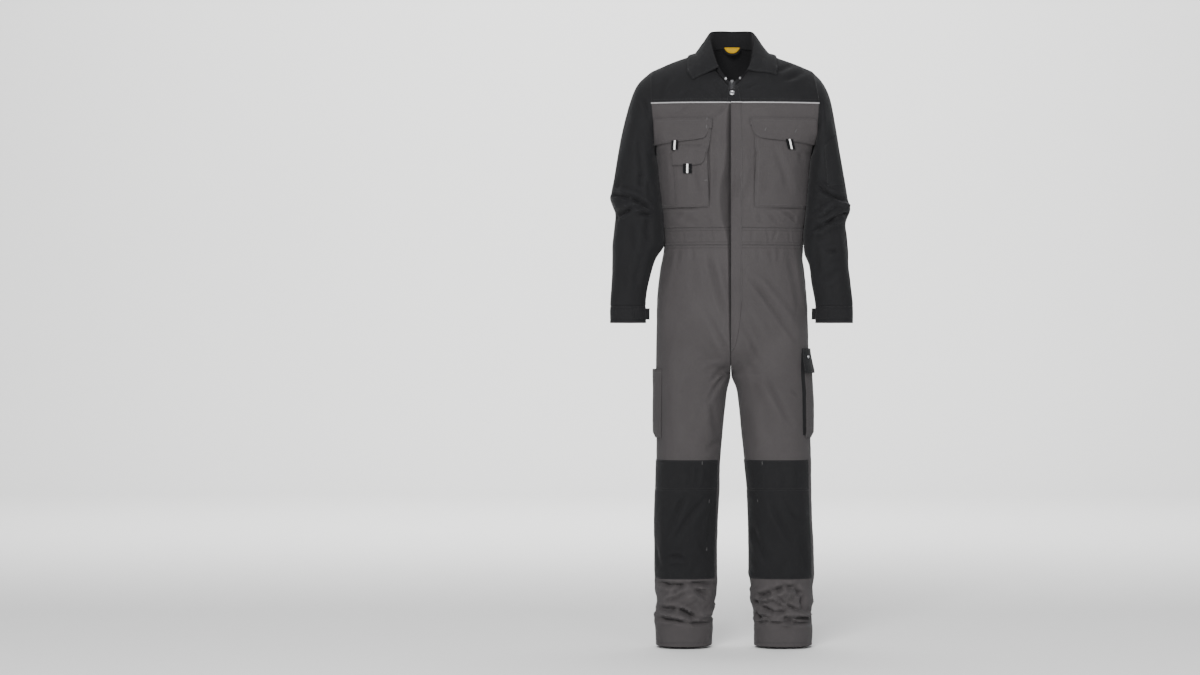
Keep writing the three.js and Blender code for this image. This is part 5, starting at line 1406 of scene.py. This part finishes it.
def top_at(name, x, z):
    """Point and direction out of the piece nearest to (x, z) on its front"""
    g = PIECES[name]
    q = g["top"]
    d = np.hypot(q[..., 0] - x, q[..., 2] - z) + np.where(g["nrm"][..., 1] > 0.2, 1e4, 0)
    j = np.unravel_index(d.argmin(), d.shape)
    return q[j], g["nrm"][j]


def form_normal(P, u, v, inside):
    U_, V__ = np.array([[float(u)]]), np.array([[float(v)]])
    return P(U_, V__)[0, 0], normals(P, U_, V__, inside)[0, 0]


p, n = form_normal(topform, 1, 0.52, axis_yoke)
lathe("snap_top", p + n * 3.6, n, snap_rows(7.2, 3.0), steel, ["snap_top"])
for word, t, v in (("right", 0.05, 0.7), ("left", 0.945, 0.95)):
    p, n = form_normal(stand, t, v, lambda q: stack(0.0, 5.0, q[..., 2] - 8))
    lathe(f"snap_stand_{word}", p + n * 1.3, n, snap_rows(3.6, 2.2), stud_metal, [f"snap_stand_{word}"])
# slider: body with a nose and a bridge
y0 = float(front_line_y(np.array(-66.0))) - 1.6
V_, F_ = [], []


def prism(outline, y_a, y_b, round_=0.35):
    b = len(V_)
    m = len(outline)
    cx, cz = sum(q[0] for q in outline) / m, sum(q[1] for q in outline) / m
    for yy, k in ((y_a, 1.0), (y_a - 0.7 * (y_a - y_b), 1.0), (y_b, 1 - round_ * 0.4)):
        V_.extend([(cx + (x - cx) * k, yy, cz + (z - cz) * k) for x, z in outline])
    for r in range(2):
        for k in range(m):
            k2 = (k + 1) % m
            F_.append((b + r * m + k, b + r * m + k2, b + (r + 1) * m + k2, b + (r + 1) * m + k))
    F_.append(tuple(range(b, b + m))[::-1])
    F_.append(tuple(range(b + 2 * m, b + 3 * m)))


body_outline = [(-3, -70), (3, -70), (4.5, -61), (3.4, -58.5), (0, -59.6), (-3.4, -58.5), (-4.5, -61)]
prism(body_outline, y0, y0 - 2.0)
prism([(-1.3, -68.5), (1.3, -68.5), (1.3, -60.5), (-1.3, -60.5)], y0 - 1.8, y0 - 3.0)
obj = mesh_object("zip_slider", np.array(V_) * MM, F_, slider_metal)
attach(obj, "root")
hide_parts("zip_slider")

# ------------------------------------------------------------------ pockets and flaps
ux = lambda side, x: float(front_u(side, float(x), -262.0))
LAYER = 2.1
FLAP_R = [(-206, -229), (-150, -224), (-75, -216), (-69, -211), (-64, -198), (-62, -190)]
FLAP_L = [(52, -182), (57, -200), (64, -209), (80, -215.5), (150, -221), (216, -227)]
PHONE_FLAP = [(-156, -284), (-120, -285), (-84, -283), (-74, -276), (-68, -262)]


def flap_limits(P, tab, top, zref):
    xs = np.array([r[0] for r in tab], float)
    zs = np.array([r[1] for r in tab], float)

    def f(us):
        x = P(us, np.full(us.shape, zref))[..., 0]
        return np.full(us.shape, float(top)), spline(xs, zs, x)
    return f


flat_right, flat_left = front_height(-1, False), front_height(1, False)
cloth("chest_pocket_right", right_front, 0.03, ux(-1, -64.5), -172, -395.5, axis_body, sewn_lift(1.6, open_edge=1, open_height=2.6), flat_right,
      ("sewn", "free", None, "sewn"), grey, step=FINE, seed=40)
cloth("chest_flap_right", right_front, 0.03, ux(-1, -62), -160, -216, axis_body, flap_lift(3.9, 2.4), flat_right,
      ("free", "free", "sewn", "free"), grey, step=FINE, seed=41, limits=flap_limits(right_front, FLAP_R, -160, -215))
cloth("phone_pocket", right_front, ux(-1, -154), ux(-1, -69), -236, -394, axis_body, sewn_lift(3.2, flat=2.6), flat_right,
      ("sewn", "sewn", None, "sewn"), grey, step=FINE, seed=42)
cloth("phone_flap", right_front, ux(-1, -154), ux(-1, -68), -231, -284, axis_body, flap_lift(5.6, 2.2), flat_right,
      ("free", "free", "sewn", "free"), grey, step=FINE, seed=43, limits=flap_limits(right_front, PHONE_FLAP, -231, -270))
cloth("chest_pocket_left", left_front, 0.03, ux(1, 63), -172, -395, axis_body, sewn_lift(1.6, open_edge=1, open_height=1.6), flat_left,
      ("sewn", "free", None, "sewn"), grey, step=FINE, seed=44)
cloth("chest_flap_left", left_front, 0.03, ux(1, 52), -160, -216, axis_body, flap_lift(3.9, 2.6), flat_left,
      ("free", "free", "sewn", "free"), grey, step=FINE, seed=45, limits=flap_limits(left_front, FLAP_L, -160, -215))
for name, side, x, half, ztop, zlow, lift in (("flap_tab_right", -1, -146, 8, -219, -243, 7.9), ("phone_tab", -1, -113, 10.5, -281, -305, 9.3), ("flap_tab_left", 1, 147, 9, -216, -241, 8.1)):
    lean = -0.20 if side > 0 else 0.0
    obj = cloth(name, lambda xx, z, side=side, lean=lean, ztop=ztop: front_body(side, front_u(side, xx - lean * (z - ztop) * -1, z), z), x - half, x + half, ztop, zlow, axis_body,
                lambda U, V, pts, dist, lift=lift: lift + 0.8 * smooth(0, 20, dist[2]), flat_right if side < 0 else flat_left,
                (None, None, "sewn", "free"), tab_mat, step=2.2, seed=46)
    g = PIECES[name]["dist"][0][:, -1].max()
    obj.data.materials[0] = ribbon(f"{name}_webbing", (0.0042, 0.0042, 0.0048), (0.78, 0.78, 0.77), g / 2)

# ------------------------------------------------------------------ knees and thighs
US14 = float(front_u(1, 14.0, -262.0))
for side, word in ((-1, "right"), (1, "left")):
    P = lambda u, z, side=side: leg(side, u, z, False)
    a, b = (0.0, 0.87) if side < 0 else (0.145, 1.0)
    for part, z0, z1 in (("upper", PATCH_TOP, PATCH_SEAM), ("lower", PATCH_SEAM, PATCH_LOW)):
        cloth(f"knee_patch_{part}_{word}", P, a, b, z0, z1, axis_leg(side), sewn_lift(1.0, flat=0.25, reach=6), leg_height(side, False, False),
              ("sewn", "sewn", "sewn", "sewn"), black, step=4.4, seed=50 + side)
CARGO_Q = np.array([-0.2, -0.09, 0, 0.09, 0.2, 0.33, 0.46])


def around(side):
    return lambda q, z: leg_round(side, q, z)


def cargo_height(side):
    f, b = leg_height(side, False, False), leg_height(side, True, False)
    def g(p, n, U, V):
        w = smooth(-0.03, 0.03, U)
        return 0.5 * lerp(f(p, n, np.abs(U), V), b(p, n, np.abs(U), V), w)
    return g


for side, word, heights in ((-1, "right", (0.4, 6, 8, 9, 9, 6, 0.4)), (1, "left", (5, 9, 9, 9, 9, 6, 0.4))):
    cloth(f"cargo_pocket_{word}", around(side), -0.2, 0.46, -818, -999, axis_leg(side),
          lambda U, V, pts, dist, h=heights: 0.5 + np.interp(U, CARGO_Q, h) * lerp(0.25, 1, smooth(0, 16, dist[3])) + 0.8 * noise(pts, 40, 61),
          cargo_height(side), ("sewn" if side < 0 else "free", "sewn", "free", "sewn"), grey, step=FINE, seed=52 + side)
BELLOWS_Z = ((-775, 4.6), (-815, 5.4), (-880, 5.4), (-930, 4.4), (-975, 2.6), (-993, 0.6))
cloth("cargo_bellows_left", around(1), -0.226, -0.2, -775, -992, axis_leg(1),
      lambda U, V, pts, dist: 0.35 + smooth(-0.226, -0.198, U) * np.interp(-V, [-z for z, _ in BELLOWS_Z], [k for _, k in BELLOWS_Z]),
      cargo_height(1), ("sewn", "free", None, "sewn"), black, nodes=["cargo_pocket_left"], step=2.6, seed=56)
cloth("cargo_flap_left", around(1), -0.235, 0.46, -764, -829, axis_leg(1),
      lambda U, V, pts, dist: 0.6 + np.interp(U, CARGO_Q, (3, 4, 4, 4, 4, 2, 1)) + 8.5 * smooth(0, 60, dist[2]) + 2 * smooth(-806, -829, V) + 0.6 * noise(pts, 30, 63),
      cargo_height(1), ("free", "free", "sewn", "free"), black, step=FINE, seed=54)
g = PIECES["cargo_flap_left"]
j = np.unravel_index((np.abs(g["U"] + 0.145) * 300 + np.abs(g["V"] + 787)).argmin(), g["U"].shape)
lathe("cargo_snap_left", g["top"][j] + g["nrm"][j] * 0.4, g["nrm"][j], snap_rows(4.4, 2.4), steel, ["cargo_snap_left"])

# ------------------------------------------------------------------ topstitching
for name, colour, rows in (
        ("chest_front_right", "grey", ((2, 2.4), (2, 7.6))), ("chest_front_left", "grey", ((2, 2.4), (2, 7.6))), ("back_bodice", "grey", ((2, 2.4), (2, 7.6))),
        ("waistband_front_right", "grey", ((2, 2.4), (3, 2.4))), ("waistband_front_left", "grey", ((2, 2.4), (3, 2.4))), ("waistband_back", "grey", ((2, 2.4), (3, 2.4))),
        ("yoke_front_right", "black", ((2, 2.4), (2, 7.6))), ("yoke_front_left", "black", ((2, 2.4), (2, 7.6))), ("yoke_back", "black", ((2, 2.4), (2, 7.6))),
        ("placket_body", "grey", ((0, 2.4), (0, 7.6))), ("placket_top", "black", ((0, 2.4), (1, 2.4), (3, 2.4))),
        ("chest_pocket_right", "grey", ((0, 2.4), (1, 2.4), (3, 2.4), (3, 7.6))), ("chest_pocket_left", "grey", ((0, 2.4), (1, 2.4), (1, 8.5), (3, 2.4), (3, 7.6))),
        ("phone_pocket", "grey", ((0, 2.4), (1, 2.4), (3, 2.4))), ("chest_flap_right", "grey", ((2, 2.4), (2, 8.6), (1, 2.4), (3, 2.4))),
        ("chest_flap_left", "grey", ((2, 2.4), (2, 8.6), (1, 2.4), (3, 2.4))), ("phone_flap", "grey", ((2, 2.4), (1, 2.4), (3, 2.4))),
        ("trouser_front_right", "grey", ((0, 2.4), (2, 2.4), (3, 9.0))), ("trouser_front_left", "grey", ((0, 2.4), (2, 2.4), (3, 9.0))),
        ("trouser_back_right", "grey", ((0, 2.4), (2, 2.4), (3, 9.0))), ("trouser_back_left", "grey", ((0, 2.4), (2, 2.4), (3, 9.0))),
        ("sleeve_right", "black", ((2, 2.4),)), ("sleeve_left", "black", ((2, 2.4),)), ("cuff_right", "black", ((2, 2.4), (3, 3.0))), ("cuff_left", "black", ((2, 2.4), (3, 3.0))),
        ("cuff_tab_right", "black", ((2, 2.0), (3, 2.0))), ("cuff_tab_left", "black", ((2, 2.0), (3, 2.0))), ("sleeve_pocket_left", "black", ((0, 2.4), (1, 2.4), (2, 3.4), (3, 2.4))),
        ("collar_leaf", "black", ((0, 4.5), (1, 4.5), (3, 4.5))), ("collar_stand", "black", ((0, 2.4), (1, 2.4))),
        ("cargo_pocket_right", "grey", ((0, 2.4), (1, 2.4), (3, 2.4), (2, 9.0))), ("cargo_pocket_left", "grey", ((0, 2.4), (1, 2.4), (3, 2.4), (2, 9.0))),
        ("cargo_flap_left", "black", ((0, 3.0), (1, 3.0), (2, 2.4), (3, 3.0))),
        ("knee_patch_upper_right", "black", ((0, 2.4), (1, 2.4), (2, 2.4), (3, 2.4))), ("knee_patch_upper_left", "black", ((0, 2.4), (1, 2.4), (2, 2.4), (3, 2.4))),
        ("knee_patch_lower_right", "black", ((0, 2.4), (1, 2.4), (2, 2.4), (3, 2.4))), ("knee_patch_lower_left", "black", ((0, 2.4), (1, 2.4), (2, 2.4), (3, 2.4)))):
    for which, inset in rows:
        border_stitches(name, colour, which, inset)


def bar(name, x, z, ang, length=9.0, colour="bar"):
    """Bar tack: short stitches packed side by side"""
    p, n = top_at(name, x, z)
    d = np.array([math.cos(ang * RAD), 0.0, math.sin(ang * RAD)])
    d = unit(d - n * (d @ n))
    s = unit(np.cross(n, d))
    k = np.arange(-length / 2, length / 2, 0.75)[:, None]
    c = p + n * 0.25 + d * k
    STITCHES.setdefault(colour, []).append((c, np.repeat(s[None], len(c), 0), np.repeat(n[None], len(c), 0), 2.6, 0.45))


for row in (("placket_body", 0, -766, 70), ("chest_flap_right", -66, -164, 90), ("chest_flap_right", -66, -186, 90), ("chest_flap_left", 88, -190, 60), ("chest_flap_left", 168, -196, 60),
            ("knee_patch_upper_right", -80, -1064, 90), ("knee_patch_lower_right", -62, -1166, 80), ("knee_patch_lower_right", -68, -1290, 80),
            ("chest_pocket_right", -68, -323, 0), ("knee_patch_upper_left", 80, -1064, 90), ("knee_patch_lower_left", 66, -1166, 80)):
    bar(*row)
bar("trouser_front_left", 0.5, -819, 70)
build_stitches("black", thread_black)
build_stitches("grey", thread_grey)
obj = build_stitches("bar", bar_thread)

# ------------------------------------------------------------------ stage, light, camera
def stage_sheet():
    cols = np.linspace(-9, 9, 13)
    path = [(-9.0, 0.0), (-3.0, 0.0), (0.0, 0.0), (4.0, 0.0), (7.8, 0.0)]
    path += [(7.8 + 1.6 * math.sin(a), 1.6 - 1.6 * math.cos(a)) for a in np.linspace(0.1, PI / 2, 16)]
    path += [(9.4, 3.0), (9.4, 7.0)]
    V = [(x, y, z - 1.556) for y, z in path for x in cols]
    m = len(cols)
    F = [(j * m + k, j * m + k + 1, (j + 1) * m + k + 1, (j + 1) * m + k) for j in range(len(path) - 1) for k in range(m - 1)]
    mat, nt, bsdf = new_material("studio_paper")
    o = node(nt, "ShaderNodeTexCoord")
    nz = node(nt, "ShaderNodeTexNoise")
    nz.inputs["Scale"].default_value = 1.4
    nt.links.new(o.outputs["Object"], nz.inputs["Vector"])
    nt.links.new(mix_colour(nt, math_node(nt, "MULTIPLY", nz.outputs["Fac"], 0.3), (0.80, 0.80, 0.79), (0.74, 0.74, 0.735)), bsdf.inputs["Base Color"])
    bsdf.inputs["Roughness"].default_value = 0.95
    obj = mesh_object("studio_paper", V, F, mat)
    return obj


stage_sheet()


def area(name, at, to, sx, sy, watts, colour=(1, 1, 1)):
    d = bpy.data.lights.new(name, "AREA")
    d.shape = "RECTANGLE"
    d.size, d.size_y, d.energy, d.color = sx, sy, watts, colour
    o = bpy.data.objects.new(name, d)
    o.location = at
    o.rotation_euler = (Vector(to) - Vector(at)).to_track_quat("-Z", "Y").to_euler()
    bpy.context.scene.collection.objects.link(o)
    return o


area("front_soft", (-0.9, -5.9, 1.5), (0, 0, -0.85), 2.2, 2.0, 590)
area("front_fill", (2.1, -6.4, -0.2), (0, 0, -0.85), 1.6, 2.4, 170)
area("paper_wash", (-0.5, 3.6, 3.4), (-0.5, 9.4, 0.4), 5.0, 1.6, 800)
area("floor_wash", (0.0, 1.6, 4.2), (0.0, 2.6, -1.55), 4.0, 2.4, 170)
world = bpy.data.worlds.new("studio")
bpy.context.scene.world = world
world.use_nodes = True
world.node_tree.nodes["Background"].inputs[0].default_value = (0.95, 0.96, 1.0, 1)
world.node_tree.nodes["Background"].inputs[1].default_value = 0.42
cam = bpy.data.cameras.new("view")
cam.sensor_width = 36
cam.lens = 90.6
cam.shift_x = -0.11
cam.clip_end = 60
camera = bpy.data.objects.new("view", cam)
camera.location = (0.0, -8.0, -0.735)
camera.rotation_euler = (PI / 2, 0, 0)
bpy.context.scene.collection.objects.link(camera)
bpy.context.scene.camera = camera
